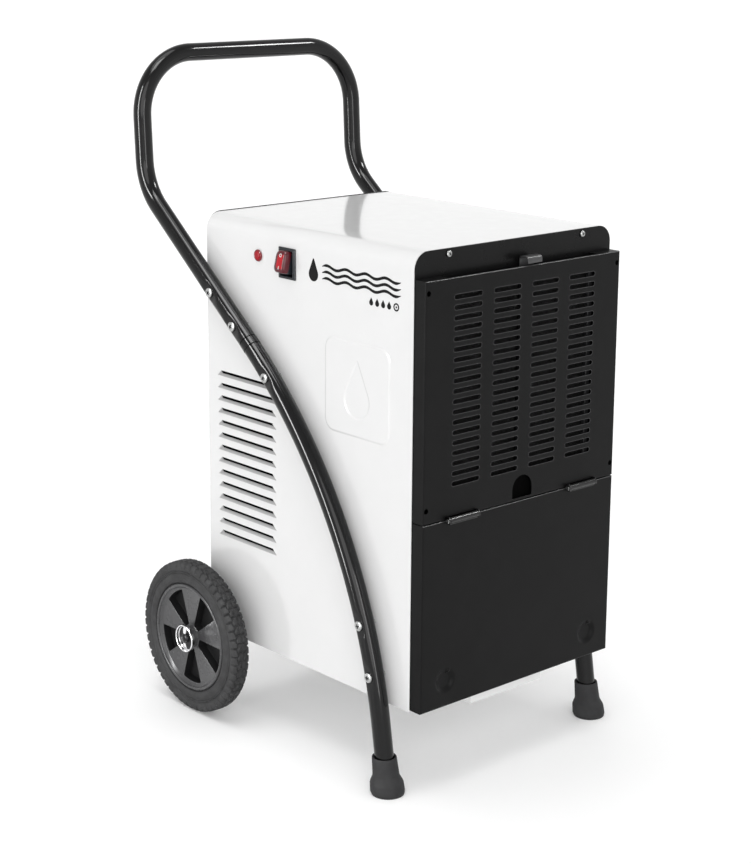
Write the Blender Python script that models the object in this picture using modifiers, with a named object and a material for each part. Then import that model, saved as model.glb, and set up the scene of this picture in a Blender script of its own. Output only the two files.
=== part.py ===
"""Portable condensation dehumidifier on two wheels and two feet, hung in a bent tube frame.

Units are metres, +Z is up.  The front, with the black grille and the tank door, faces -Y and the
switch is on the -X side.  Pieces are placed in the cabinet's own frame, whose Y = 0 is the outer
face of the front plate; the empty named "dehumidifier" moves them to the centre of the floor plan.
"""

import math

import bmesh
import bpy
from mathutils import Matrix, Vector

# Driving dimensions
GAP = 0.0003                    # clearance between pieces that touch
FRONT_Y = -0.2643               # world Y of the front plate's outer face
BODY_W, BODY_D = 0.350, 0.417   # cabinet width and depth
BODY_Z0, BODY_Z1 = 0.115, 0.702
BODY_CORNER_R = 0.022
SHEET = 0.0012
PLATE = 0.0015

COVER_D = 0.0185                # depth of the grille cover and the door in front of the plate
COVER_Z1 = 0.669
SPLIT_Z = 0.3635                # line between the grille cover and the tank door
HINGE_Y = -0.0228
HINGE_R = 0.004
HINGE_X = 0.109                 # centre of each knuckle
KNUCKLE_L = 0.048

GRILLE_ROWS, GRILLE_PITCH = 19, 0.01313
GRILLE_Z_TOP = 0.6447
GRILLE_COLUMNS = (-0.1025, -0.0342, 0.0342, 0.1025)
GRILLE_SLOT = (0.048, 0.006)

LOUVRES, LOUVRE_PITCH = 14, 0.01753
LOUVRE_Y = (0.2702, 0.3906)
LOUVRE_Z_BOTTOM = 0.2564
LOUVRE_H = 0.005

TUBE_R = 0.0125
TUBE_X = 0.1908                 # centre plane of each side's tube
JOINT = (0.3010, 0.5410)        # Y, Z where the handle meets the leg
JOINT_RING = 0.013              # length of the sleeve's visible ring
SLOPE = math.radians(51.5)      # from vertical, at the joint
LEAN = math.radians(3.1)        # of the upright part of the handle
STRAIGHT = 0.2970               # from the joint to the corner of the handle's lower bend
HANDLE_Z = 0.907
BEND_R = 0.085
LEG_R = 0.723
LEG_END = math.radians(9.0)     # the leg's angle at the foot
LEG_TOE_Z = 0.010
HANDLE_SCREWS = (0.034, 0.096)  # distances along the tube from the joint
LEG_SCREWS = (0.056, 0.405, 0.472)

WHEEL_Y, WHEEL_R = 0.404, 0.108
WHEEL_X = 0.2118                # middle of the tyre's width
TYRE_X = (0.1975, 0.2260)
RIM_R, DISC_R = 0.0765, 0.068
HUB_R = 0.0148
HUB_X = (0.1800, 0.2270)
DISC_X = (0.2030, 0.2190)       # inner and outer face of the moulded disc
DISC_WALL = 0.003
POCKET_R = (0.0180, 0.0665)
POCKET_HALF = math.radians(17.5)
AXLE_R = 0.006
CLAMP_X = (0.138, 0.166)

FAN_Z, FAN_R = 0.520, 0.118
BULKHEAD_Y = 0.134

SWITCH_Y, SWITCH_Z = 0.242, 0.656
SWITCH_TILT = math.radians(14.0)
LAMP_Y, LAMP_Z = 0.3023, 0.6585

TANK_X, TANK_Y, TANK_Z = 0.148, (0.004, 0.128), (0.1168, 0.308)
FLOAT_PIVOT = (0.090, 0.121, 0.290)

PIPE_X = 0.161                  # riser channel beside the coils
COIL_END_X = 0.1515
DRIER, DRIER_Z = (0.125, 0.300), (0.196, 0.304)

PLATE_SCREW_X, PLATE_SCREW_Z = 0.1197, 0.6950
INLET_X, INLET_Z = -0.110, 0.170
SUMP_X, SUMP_Z = (-0.062, 0.070), 0.092
BEHIND_SPLIT = 0.0007           # clearance between the door's top edge and the split line


# Scene set-up and small helpers

def clear_scene():
    for item in list(bpy.data.objects):
        bpy.data.objects.remove(item)


def new_collection(name):
    collection = bpy.data.collections.new(name)
    bpy.context.scene.collection.children.link(collection)
    return collection


clear_scene()
PARTS = new_collection("dehumidifier_parts")
CUTTERS = new_collection("dehumidifier_cutters")
ASSEMBLY = bpy.data.objects.new("dehumidifier", None)
ASSEMBLY.location = (0, FRONT_Y, 0)
PARTS.objects.link(ASSEMBLY)


def new_material(name, colour, roughness, metallic=0.0, alpha=1.0):
    material = bpy.data.materials.new(name)
    material.use_nodes = True
    shader = material.node_tree.nodes["Principled BSDF"]
    shader.inputs["Base Color"].default_value = (*colour, 1)
    shader.inputs["Roughness"].default_value = roughness
    shader.inputs["Metallic"].default_value = metallic
    shader.inputs["Alpha"].default_value = alpha
    return material


WHITE = new_material("white_powder_coat", (0.86, 0.87, 0.88), 0.25)
BLACK = new_material("black_sheet", (0.018, 0.018, 0.018), 0.45)
GLOSS_BLACK = new_material("black_tube", (0.010, 0.010, 0.011), 0.12)
RUBBER = new_material("rubber", (0.035, 0.036, 0.038), 0.8)
RIM_GREY = new_material("rim_plastic", (0.075, 0.077, 0.080), 0.5)
CHROME = new_material("chrome", (0.80, 0.80, 0.80), 0.12, 1.0)
ZINC = new_material("zinc_steel", (0.62, 0.63, 0.62), 0.3, 1.0)
RED = new_material("red_plastic", (0.60, 0.010, 0.020), 0.3)
BOOT_RED = new_material("boot_clear", (0.25, 0.02, 0.03), 0.2, 0.0, 0.4)
BEZEL_GREY = new_material("bezel_plastic", (0.030, 0.037, 0.045), 0.4)
COPPER = new_material("copper", (0.72, 0.32, 0.18), 0.3, 1.0)
ALUMINIUM = new_material("aluminium_fins", (0.75, 0.76, 0.77), 0.35, 1.0)
GALVANISED = new_material("galvanised_sheet", (0.55, 0.57, 0.58), 0.4, 1.0)
DARK_ENAMEL = new_material("compressor_enamel", (0.020, 0.020, 0.022), 0.35)
CLEAR_PLASTIC = new_material("tank_plastic", (0.70, 0.74, 0.76), 0.35)
FILTER_MESH = new_material("filter_mesh", (0.10, 0.10, 0.11), 0.8)


def add_object(name, data, material=None, origin=(0, 0, 0), cutter=False):
    item = bpy.data.objects.new(name, data)
    item.parent = ASSEMBLY
    item.location = origin
    if cutter:
        CUTTERS.objects.link(item)
        item.hide_render = True
        item.display_type = "WIRE"
    else:
        PARTS.objects.link(item)
        data.materials.append(material)
    return item


def mesh_from(bm, name, smooth=False):
    mesh = bpy.data.meshes.new(name)
    bm.to_mesh(mesh)
    bm.free()
    if smooth:
        mesh.shade_smooth()
        mesh.set_sharp_from_angle(angle=math.radians(35))
    return mesh


def add_box(bm, low, high):
    low, high = Vector(low), Vector(high)
    placed = Matrix.Translation((low + high) / 2) @ Matrix.Diagonal((*(high - low), 1))
    bmesh.ops.create_cube(bm, size=1.0, matrix=placed)


def add_cylinder(bm, start, end, radius, segments=18):
    start, end = Vector(start), Vector(end)
    turn = (end - start).to_track_quat("Z", "Y").to_matrix().to_4x4()
    bmesh.ops.create_cone(bm, cap_ends=True, segments=segments, radius1=radius, radius2=radius,
                          depth=(end - start).length,
                          matrix=Matrix.Translation((start + end) / 2) @ turn)


def extrude_outline(points, vector):
    """A closed solid between a flat outline and its copy moved by the vector."""
    bm = bmesh.new()
    face = bm.faces.new([bm.verts.new(point) for point in points])
    raised = bmesh.ops.extrude_face_region(bm, geom=[face])["geom"]
    bmesh.ops.translate(bm, vec=vector,
                        verts=[part for part in raised if isinstance(part, bmesh.types.BMVert)])
    bmesh.ops.recalc_face_normals(bm, faces=bm.faces)
    return bm


def box(name, low, high, material=None, origin=(0, 0, 0), cutter=False, bevel=0.0):
    origin = Vector(origin)
    bm = bmesh.new()
    add_box(bm, Vector(low) - origin, Vector(high) - origin)
    item = add_object(name, mesh_from(bm, name), material, origin, cutter)
    if bevel:
        rounding = item.modifiers.new("rounding", "BEVEL")
        rounding.width = bevel
        rounding.segments = 2
    return item


def cylinder(name, start, end, radius, material=None, origin=(0, 0, 0), cutter=False, segments=18):
    origin = Vector(origin)
    bm = bmesh.new()
    add_cylinder(bm, Vector(start) - origin, Vector(end) - origin, radius, segments)
    return add_object(name, mesh_from(bm, name, True), material, origin, cutter)


def boxes_cutter(name, boxes):
    """One cutter made of several separate boxes."""
    bm = bmesh.new()
    for low, high in boxes:
        add_box(bm, low, high)
    return add_object(name, mesh_from(bm, name), cutter=True)


def turned(name, profile, material, origin, axis="Z", segments=32, closed=False, cutter=False):
    """A Screw of (radius, height) points that run from the top down the outer side."""
    bm = bmesh.new()
    points = [bm.verts.new((radius, 0, height)) for radius, height in profile]
    for first, second in zip(points, points[1:]):
        bm.edges.new((first, second))
    if closed:
        bm.edges.new((points[-1], points[0]))
    item = add_object(name, mesh_from(bm, name), material, origin, cutter)
    if axis == "X":
        item.rotation_euler = (0, math.pi / 2, 0)
    elif axis == "-X":
        item.rotation_euler = (0, -math.pi / 2, 0)
    elif axis == "Y":
        item.rotation_euler = (-math.pi / 2, 0, 0)
    elif axis == "-Y":
        item.rotation_euler = (math.pi / 2, 0, 0)
    screw = item.modifiers.new("turn", "SCREW")
    screw.steps = screw.render_steps = segments
    screw.use_merge_vertices = True
    screw.merge_threshold = 0.00001
    screw.use_smooth_shade = True
    return item


def cut(item, cutter):
    boolean = item.modifiers.new("cut_" + cutter.name, "BOOLEAN")
    boolean.operation = "DIFFERENCE"
    boolean.solver = "EXACT"
    boolean.object = cutter


def join(item, other):
    boolean = item.modifiers.new("join_" + other.name, "BOOLEAN")
    boolean.operation = "UNION"
    boolean.solver = "EXACT"
    boolean.object = other


def rounded_path(corners, radius, steps=6):
    """Points of a polyline whose inner corners are arcs of the given radius."""
    corners = [Vector(corner) for corner in corners]
    points = [corners[0]]
    for before, corner, after in zip(corners, corners[1:], corners[2:]):
        back, ahead = (before - corner).normalized(), (after - corner).normalized()
        half = back.angle(ahead) / 2
        centre = corner + (back + ahead).normalized() * radius / math.sin(half)
        start = corner + back * radius / math.tan(half)
        arm = start - centre
        axis = back.cross(ahead).normalized()
        sweep = math.pi - 2 * half
        for step in range(steps + 1):
            points.append(centre + Matrix.Rotation(-sweep * step / steps, 3, axis) @ arm)
    points.append(corners[-1])
    return points


def bent_tube(name, points, radius, material=None, resolution=2, cutter=False):
    """A round bar along the points, turned into a mesh with welded caps."""
    curve = bpy.data.curves.new(name, "CURVE")
    curve.dimensions = "3D"
    curve.bevel_depth = radius
    curve.bevel_resolution = resolution
    curve.use_fill_caps = True
    spline = curve.splines.new("POLY")
    spline.points.add(len(points) - 1)
    for target, point in zip(spline.points, points):
        target.co = (*point, 1)
    holder = bpy.data.objects.new(name + "_curve", curve)
    PARTS.objects.link(holder)
    evaluated = holder.evaluated_get(bpy.context.evaluated_depsgraph_get())
    mesh = bpy.data.meshes.new_from_object(evaluated)
    bpy.data.objects.remove(holder)
    bm = bmesh.new()
    bm.from_mesh(mesh)
    bpy.data.meshes.remove(mesh)
    bmesh.ops.remove_doubles(bm, verts=bm.verts, dist=0.00001)
    bmesh.ops.recalc_face_normals(bm, faces=bm.faces)
    return add_object(name, mesh_from(bm, name, True), material, cutter=cutter)


def bake(item):
    """Replaces an object's modifiers with the mesh that they make."""
    bpy.context.view_layer.update()
    evaluated = item.evaluated_get(bpy.context.evaluated_depsgraph_get())
    mesh = bpy.data.meshes.new_from_object(evaluated)
    item.modifiers.clear()
    item.data = mesh


def side_name(side):
    return "left" if side < 0 else "right"


# Sheet-metal cabinet

def casing_shell():
    """One sheet bent over the top and both sides, with louvres in each side."""
    half, front, rear = BODY_W / 2, PLATE + GAP, BODY_D - PLATE - GAP
    bottom = BODY_Z0 - 0.0028
    outline = [(-half, bottom)]
    for turn_centre, first in ((-half + BODY_CORNER_R, 180), (half - BODY_CORNER_R, 90)):
        for step in range(7):
            angle = math.radians(first - 15 * step)
            outline.append((turn_centre + BODY_CORNER_R * math.cos(angle),
                            BODY_Z1 - BODY_CORNER_R + BODY_CORNER_R * math.sin(angle)))
    outline.append((half, bottom))
    bm = bmesh.new()
    rows = [[bm.verts.new((x, y, z)) for x, z in outline] for y in (front, rear)]
    for index in range(len(outline) - 1):
        bm.faces.new((rows[0][index], rows[0][index + 1], rows[1][index + 1], rows[1][index]))
    shell = add_object("casing_shell", mesh_from(bm, "casing_shell", True), WHITE)
    skin = shell.modifiers.new("skin", "SOLIDIFY")
    skin.thickness = SHEET
    skin.offset = -1
    slots = []
    for row in range(LOUVRES):
        z = LOUVRE_Z_BOTTOM + row * LOUVRE_PITCH
        for side in (-1, 1):
            edges = sorted((side * (half - 0.004), side * (half + 0.004)))
            slots.append(((edges[0], LOUVRE_Y[0], z - LOUVRE_H / 2),
                          (edges[1], LOUVRE_Y[1], z + LOUVRE_H / 2)))
    cut(shell, boxes_cutter("louvre_slots", slots))
    cut(shell, boxes_cutter("switch_cutout", [((-0.18, SWITCH_Y - 0.0150, SWITCH_Z - 0.0185),
                                               (-0.17, SWITCH_Y + 0.0150, SWITCH_Z + 0.0185))]))
    cut(shell, cylinder("lamp_hole", (-0.18, LAMP_Y, LAMP_Z), (-0.17, LAMP_Y, LAMP_Z), 0.0045,
                        cutter=True, segments=16))
    cut(shell, cylinder("axle_notch", (-0.20, WHEEL_Y, WHEEL_R), (0.20, WHEEL_Y, WHEEL_R),
                        AXLE_R + 0.0012, cutter=True, segments=16))
    for side in (-1, 1):
        for index, (y, z) in enumerate(tube_screw_places()):
            cut(shell, cylinder(f"casing_screw_hole_{side_name(side)}_{index}",
                                (side * 0.170, y, z), (side * 0.180, y, z), 0.0033,
                                cutter=True, segments=8))


def front_plate():
    """Plate over the cabinet's front, with one window for the coils and one for the tank."""
    half = BODY_W / 2
    plate = box("front_plate", (-half, 0, BODY_Z0), (half, PLATE, BODY_Z1), BLACK)
    corners = plate.modifiers.new("corners", "BEVEL")
    corners.width = BODY_CORNER_R
    corners.segments = 5
    corners.limit_method = "WEIGHT"
    weights = plate.data.attributes.new("bevel_weight_edge", "FLOAT", "EDGE")
    for edge in plate.data.edges:
        ends = [plate.data.vertices[index].co for index in edge.vertices]
        if all(end.z > BODY_Z1 - 0.001 for end in ends) and abs(ends[0].y - ends[1].y) > 0.001:
            weights.data[edge.index].value = 1.0
    cut(plate, boxes_cutter("plate_windows", [((-0.135, -0.01, 0.380), (0.135, 0.01, 0.645)),
                                              ((-0.155, -0.01, 0.1165), (0.155, 0.01, 0.330))]))
    for side in (-1, 1):
        x = side * PLATE_SCREW_X
        cut(plate, cylinder(f"plate_screw_hole_{side_name(side)}", (x, -0.01, PLATE_SCREW_Z),
                            (x, 0.01, PLATE_SCREW_Z), 0.0023, cutter=True, segments=8))


def rear_panel():
    half = BODY_W / 2
    panel = box("rear_panel", (-half, BODY_D - PLATE, BODY_Z0 - 0.0028),
                (half, BODY_D, BODY_Z1), BLACK)
    cut(panel, cylinder("inlet_hole", (INLET_X, BODY_D - 0.01, INLET_Z),
                        (INLET_X, BODY_D + 0.01, INLET_Z), 0.0085, cutter=True))


def base_tray():
    """Floor pan with a shallow sump under the tank compartment."""
    half = BODY_W / 2 - SHEET - 0.0009
    tray = box("base_tray", (-half, 0.0024, BODY_Z0), (half, 0.4145, 0.140), WHITE)
    join(tray, box("tray_sump", (SUMP_X[0], 0.006, SUMP_Z), (SUMP_X[1], 0.120, BODY_Z0 + 0.001),
                   cutter=True))
    cut(tray, boxes_cutter("tray_inside", [
        ((-half + PLATE, -0.010, BODY_Z0 + PLATE), (half - PLATE, 0.413, 0.150))]))
    cut(tray, boxes_cutter("sump_inside", [
        ((SUMP_X[0] + PLATE, 0.0075, SUMP_Z + PLATE), (SUMP_X[1] - PLATE, 0.1185, 0.120))]))


def open_box(name, low, high, material):
    """A sheet-metal lid: a front face and four flanges that point back."""
    bm = bmesh.new()
    add_box(bm, low, high)
    bm.faces.ensure_lookup_table()
    rear = max(bm.faces, key=lambda face: face.calc_center_median().y)
    bm.faces.remove(rear)
    item = add_object(name, mesh_from(bm, name), material)
    skin = item.modifiers.new("skin", "SOLIDIFY")
    skin.thickness = SHEET
    skin.offset = -1
    skin.use_even_offset = True
    return item


def grille_cover():
    """Upper front cover: slots, a filter slot in its top, an arch and the hinge lugs."""
    half = BODY_W / 2 - 0.0005
    cover = open_box("grille_cover", (-half, -COVER_D, SPLIT_Z + 0.0005), (half, -GAP, COVER_Z1),
                     BLACK)
    slots = []
    for column in GRILLE_COLUMNS:
        for row in range(GRILLE_ROWS):
            z = GRILLE_Z_TOP - row * GRILLE_PITCH
            slots.append(((column - GRILLE_SLOT[0] / 2, -0.03, z - GRILLE_SLOT[1] / 2),
                          (column + GRILLE_SLOT[0] / 2, -0.01, z + GRILLE_SLOT[1] / 2)))
    cut(cover, boxes_cutter("grille_slots", slots))
    cut(cover, boxes_cutter("filter_slot", [((-0.134, -0.0150, COVER_Z1 - 0.005),
                                             (0.134, 0.005, COVER_Z1 + 0.005))]))
    bm = bmesh.new()
    add_box(bm, (-0.0175, -0.03, SPLIT_Z - 0.005), (0.0175, -0.015, 0.3800))
    arch = add_object("arch", mesh_from(bm, "arch"), cutter=True)
    join(arch, cylinder("arch_top", (0, -0.03, 0.3800), (0, -0.015, 0.3800), 0.0175, cutter=True))
    cut(cover, arch)
    for side in (-1, 1):
        for z in (0.6539, 0.3815):
            x = side * 0.1692
            cut(cover, cylinder(f"corner_hole_{side_name(side)}_{z}", (x, -0.03, z), (x, -0.01, z),
                                0.0034, cutter=True, segments=10))
    for side in (-1, 1):
        for end in (-1, 1):
            x = side * HINGE_X + end * (KNUCKLE_L / 2 + 0.0015)
            lug = cylinder(f"lug_{side_name(side)}_{end}", (x - 0.001, HINGE_Y, SPLIT_Z),
                           (x + 0.001, HINGE_Y, SPLIT_Z), HINGE_R, cutter=True, segments=16)
            join(lug, box(f"lug_web_{side_name(side)}_{end}",
                          (x - 0.001, HINGE_Y - 0.0030, SPLIT_Z + 0.0010),
                          (x + 0.001, -COVER_D + 0.0008, SPLIT_Z + 0.0050), cutter=True))
            join(cover, lug)
    cut(cover, cylinder("lug_bore", (-0.15, HINGE_Y, SPLIT_Z), (0.15, HINGE_Y, SPLIT_Z), 0.0023,
                        cutter=True, segments=8))


def tank_door():
    """Plain lower door, hung on two barrels at its top edge."""
    half = BODY_W / 2 - 0.0005
    door = open_box("tank_door", (-half, -COVER_D, BODY_Z0), (half, -GAP, SPLIT_Z - BEHIND_SPLIT),
                    BLACK)
    for side in (-1, 1):
        low, high = side * HINGE_X - KNUCKLE_L / 2, side * HINGE_X + KNUCKLE_L / 2
        barrel = cylinder(f"barrel_{side_name(side)}", (low, HINGE_Y, SPLIT_Z),
                          (high, HINGE_Y, SPLIT_Z), HINGE_R, cutter=True, segments=16)
        join(barrel, box(f"barrel_web_{side_name(side)}",
                         (low, HINGE_Y - 0.0010, SPLIT_Z - 0.0050),
                         (high, -COVER_D + 0.0006, SPLIT_Z - 0.0028), cutter=True))
        join(door, barrel)
        cut(door, turned(f"dimple_{side_name(side)}", [(0, 0.0060), (0.0165, 0.0060), (0, -0.0008)],
                         None, (side * 0.132, -COVER_D, 0.150), "-Y", 20, cutter=True))
    cut(door, cylinder("barrel_bore", (-0.15, HINGE_Y, SPLIT_Z), (0.15, HINGE_Y, SPLIT_Z), 0.0023,
                       cutter=True, segments=8))
    move_origin(door, (0, HINGE_Y, SPLIT_Z))


def move_origin(item, origin):
    """Puts an object's origin on its joint's axis and leaves its shape where it is."""
    shift = Vector(origin) - item.location
    item.data.transform(Matrix.Translation(-shift))
    item.location = origin


def hinge_pins():
    for side in (-1, 1):
        x0 = side * HINGE_X - KNUCKLE_L / 2 - 0.0032
        x1 = side * HINGE_X + KNUCKLE_L / 2 + 0.0028
        pin = cylinder(f"hinge_pin_{side_name(side)}", (x0, HINGE_Y, SPLIT_Z),
                       (x1, HINGE_Y, SPLIT_Z), 0.0019, ZINC, segments=8)
        join(pin, cylinder(f"pin_head_{side_name(side)}", (x0 - 0.0012, HINGE_Y, SPLIT_Z),
                           (x0 + 0.0001, HINGE_Y, SPLIT_Z), 0.0030, cutter=True, segments=8))


# Air side

def air_filter():
    """Cassette that slides up behind the grille, with a bent pull tab."""
    low, high = (-0.130, -0.0120, 0.3760), (0.130, -0.0040, 0.6660)
    frame = box("filter_frame", low, high, BLACK)
    cut(frame, boxes_cutter("filter_window", [((-0.122, -0.02, 0.384), (0.122, 0.0, 0.658))]))
    bar = boxes_cutter("filter_bars", [((-0.003, -0.0060, 0.380), (0.003, -0.0042, 0.662))])
    join(frame, bar)
    tab_x = (-0.001, 0.025)
    for index, (low, high) in enumerate((
            ((tab_x[0], -0.0060, 0.660), (tab_x[1], -0.0045, 0.6808)),
            ((tab_x[0], -0.0205, 0.6793), (tab_x[1], -0.0045, 0.6808)),
            ((tab_x[0], -0.0205, 0.6715), (tab_x[1], -0.0190, 0.6808)))):
        join(frame, box(f"pull_tab_{index}", low, high, cutter=True))
    box("filter_mesh", (-0.1217, -0.0085, 0.3843), (0.1217, -0.0070, 0.6577), FILTER_MESH)


def coil(name, y0, y1, z0, z1, material):
    """Fin pack as one comb-shaped extrusion, with hairpin bends on its right end."""
    half, fin, groove, depth = 0.1375, 0.0070, 0.0090, 0.006
    pitch = fin + groove
    count = int((2 * half - fin) / pitch)
    start = -(count * pitch + fin) / 2
    front, rear = [], []
    for index in range(count):
        x = start + index * pitch
        front += [(x, y0), (x + fin, y0), (x + fin, y0 + depth), (x + pitch, y0 + depth)]
        rear += [(x, y1), (x + fin, y1), (x + fin, y1 - depth), (x + pitch, y1 - depth)]
    last = start + count * pitch
    front += [(last, y0), (last + fin, y0)]
    rear += [(last, y1), (last + fin, y1)]
    bm = extrude_outline([(x, y, z0) for x, y in front + rear[::-1]], (0, 0, z1 - z0))
    pack = add_object(name, mesh_from(bm, name), material)
    middle, rows = (y0 + y1) / 2, 4
    step = (z1 - z0) / rows
    for row in range(rows):
        z = z0 + step * (row + 0.25)
        corners = [(0.130, middle, z), (0.148, middle, z), (0.148, middle, z + step / 2),
                   (0.130, middle, z + step / 2)]
        join(pack, bent_tube(f"{name}_bend_{row}", rounded_path(corners, 0.010, 2), 0.0035,
                             resolution=1, cutter=True))


def fan():
    """Bulkhead plate with the fan ring and motor spider, the motor, and the impeller."""
    back = BULKHEAD_Y + PLATE
    plate = box("fan_bulkhead", (-0.1708, BULKHEAD_Y, 0.1170), (0.1500, back, 0.6790), GALVANISED)
    ring = cylinder("ring_outside", (0, BULKHEAD_Y + 0.0005, FAN_Z), (0, 0.163, FAN_Z),
                    FAN_R + 0.0015, cutter=True, segments=28)
    join(plate, ring)
    cut(plate, cylinder("ring_inside", (0, BULKHEAD_Y - 0.01, FAN_Z), (0, 0.170, FAN_Z), FAN_R,
                        cutter=True, segments=28))
    spider = cylinder("spider_boss", (0, 0.159, FAN_Z), (0, 0.163, FAN_Z), 0.036, cutter=True)
    for turn in (45, 135):
        arm = box(f"spider_arm_{turn}", (-FAN_R - 0.0008, 0.159, FAN_Z - 0.006),
                  (FAN_R + 0.0008, 0.163, FAN_Z + 0.006), origin=(0, 0.161, FAN_Z), cutter=True)
        arm.rotation_euler = (0, math.radians(turn), 0)
        join(spider, arm)
    join(plate, spider)
    cut(plate, cylinder("spider_hole", (0, 0.15, FAN_Z), (0, 0.17, FAN_Z), 0.010, cutter=True))

    motor = cylinder("fan_motor", (0, 0.1633, FAN_Z), (0, 0.245, FAN_Z), 0.042, GALVANISED)
    for index, y in enumerate((0.180, 0.228)):
        join(motor, cylinder(f"motor_flange_{index}", (0, y, FAN_Z), (0, y + 0.003, FAN_Z), 0.045,
                             cutter=True))

    hub = cylinder("fan_impeller", (0, 0.139, FAN_Z), (0, 0.155, FAN_Z), 0.028, BLACK,
                   origin=(0, 0.147, FAN_Z))
    join(hub, cylinder("motor_shaft", (0, 0.150, FAN_Z), (0, 0.1630, FAN_Z), 0.004, cutter=True))
    for blade in range(5):
        wing = box(f"blade_{blade}", (0.024, 0.1462, FAN_Z - 0.024), (0.110, 0.1478, FAN_Z + 0.024),
                   origin=(0, 0.147, FAN_Z), cutter=True)
        pitch = Matrix.Rotation(math.radians(17), 4, "X")
        wing.matrix_basis = (Matrix.Translation((0, 0.147, FAN_Z))
                             @ Matrix.Rotation(math.radians(72 * blade), 4, "Y") @ pitch)
        join(hub, wing)


# Refrigeration circuit

def compressor():
    """Welded can with its suction accumulator and mounting feet."""
    x, y, radius = -0.060, 0.262, 0.072
    profile = [(0, 0.352), (0.030, 0.350), (0.055, 0.340), (radius, 0.318), (radius, 0.150),
               (0.060, 0.130), (0.030, 0.124), (0, 0.123)]
    can = turned("compressor", profile, DARK_ENAMEL, (x, y, 0), segments=28)
    join(can, cylinder("accumulator", (0.045, y, 0.170), (0.045, y, 0.300), 0.022, cutter=True,
                       segments=20))
    join(can, box("accumulator_strap", (0.000, y - 0.008, 0.225), (0.030, y + 0.008, 0.245),
                  cutter=True))
    join(can, box("feet_plate", (x - 0.075, y - 0.060, 0.1168), (x + 0.075, y + 0.060, 0.1200),
                  cutter=True))
    join(can, cylinder("can_skirt", (x, y, 0.119), (x, y, 0.135), 0.040, cutter=True))


def refrigerant_lines():
    suction = [(COIL_END_X + GAP, 0.028, 0.6100), (PIPE_X, 0.028, 0.610), (PIPE_X, 0.262, 0.610),
               (PIPE_X, 0.262, 0.330), (0.045, 0.262, 0.330), (0.045, 0.262, 0.3003)]
    bent_tube("suction_line", rounded_path(suction, 0.0085, 3), 0.005, COPPER)
    discharge = [(-0.060, 0.262, 0.3523), (-0.060, 0.262, 0.388), (-0.060, 0.200, 0.388),
                 (PIPE_X, 0.200, 0.388), (PIPE_X, 0.080, 0.388), (COIL_END_X + GAP, 0.080, 0.388)]
    bent_tube("discharge_line", rounded_path(discharge, 0.0085, 3), 0.004, COPPER)
    liquid = [(COIL_END_X + GAP, 0.080, 0.430), (PIPE_X, 0.080, 0.430), (PIPE_X, 0.225, 0.430),
              (PIPE_X, 0.225, 0.170), (PIPE_X, 0.300, 0.170), (DRIER[0], 0.300, 0.170),
              (DRIER[0], 0.300, DRIER_Z[0] - GAP)]
    bent_tube("liquid_line", rounded_path(liquid, 0.0085, 3), 0.004, COPPER)

    drier = [(0, DRIER_Z[1]), (0.004, DRIER_Z[1]), (0.005, DRIER_Z[1] - 0.008),
             (0.011, DRIER_Z[1] - 0.018), (0.011, DRIER_Z[0] + 0.018),
             (0.005, DRIER_Z[0] + 0.008), (0.004, DRIER_Z[0]), (0, DRIER_Z[0])]
    turned("filter_drier", drier, COPPER, (DRIER[0], DRIER[1], 0), segments=20)

    centre, radius, turns, rise = (0.125, 0.230), 0.018, 3, 0.0070
    helix_z = 0.415
    points = [(DRIER[0], DRIER[1], DRIER_Z[1] + GAP), (DRIER[0], DRIER[1], 0.390),
              (DRIER[0], 0.270, 0.411)]
    for step in range(turns * 8 + 6):
        angle = math.pi / 2 - 2 * math.pi * step / 8
        points.append((centre[0] + radius * math.cos(angle), centre[1] + radius * math.sin(angle),
                       helix_z + rise * step / 8))
    points += [(0.1535, 0.200, 0.470), (0.1535, 0.040, 0.470), (COIL_END_X + 0.0005, 0.030, 0.470)]
    bent_tube("capillary_tube", points, 0.0013, COPPER, resolution=1)


# Water side

def water_side():
    tray = box("drip_tray", (-0.148, 0.0040, 0.3420), (0.148, 0.1120, 0.3660), GALVANISED)
    cut(tray, boxes_cutter("drip_inside", [((-0.1465, 0.0055, 0.3435), (0.1465, 0.1105, 0.370))]))
    cut(tray, cylinder("drip_hole", (0, 0.035, 0.33), (0, 0.035, 0.36), 0.0055, cutter=True))
    spigot = [(0.0040, 0.3417), (0.0110, 0.3417), (0.0110, 0.3360), (0.0065, 0.3360),
              (0.0060, 0.3180), (0.0040, 0.3180)]
    turned("drain_spigot", spigot, BLACK, (0, 0.035, 0), segments=20, closed=True)

    low = (-TANK_X, TANK_Y[0], TANK_Z[0])
    tank = box("water_tank", low, (TANK_X, TANK_Y[1], TANK_Z[1]), CLEAR_PLASTIC)
    wall = 0.0025
    cut(tank, boxes_cutter("tank_inside", [((-TANK_X + wall, TANK_Y[0] + wall, TANK_Z[0] + wall),
                                            (TANK_X - wall, TANK_Y[1] - wall, TANK_Z[1] + 0.01))]))
    cut(tank, boxes_cutter("tank_grip", [((-0.045, -0.010, 0.270), (0.045, 0.010, 0.290))]))

    x, y, z = FLOAT_PIVOT
    arm = cylinder("tank_float", (x - 0.012, y, z), (x + 0.012, y, z), 0.003, BLACK,
                   origin=FLOAT_PIVOT, segments=16)
    join(arm, box("float_arm", (x - 0.004, y - 0.040, z - 0.0015), (x + 0.004, y, z + 0.0015),
                  cutter=True))
    join(arm, box("float_block", (x - 0.020, y - 0.078, z - 0.018), (x + 0.020, y - 0.036, z + 0.006),
                  cutter=True))
    box("float_switch", (x - 0.014, BULKHEAD_Y - 0.0103, 0.312), (x + 0.014, BULKHEAD_Y - GAP, 0.332),
        BLACK, bevel=0.001)


# Electrics

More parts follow.
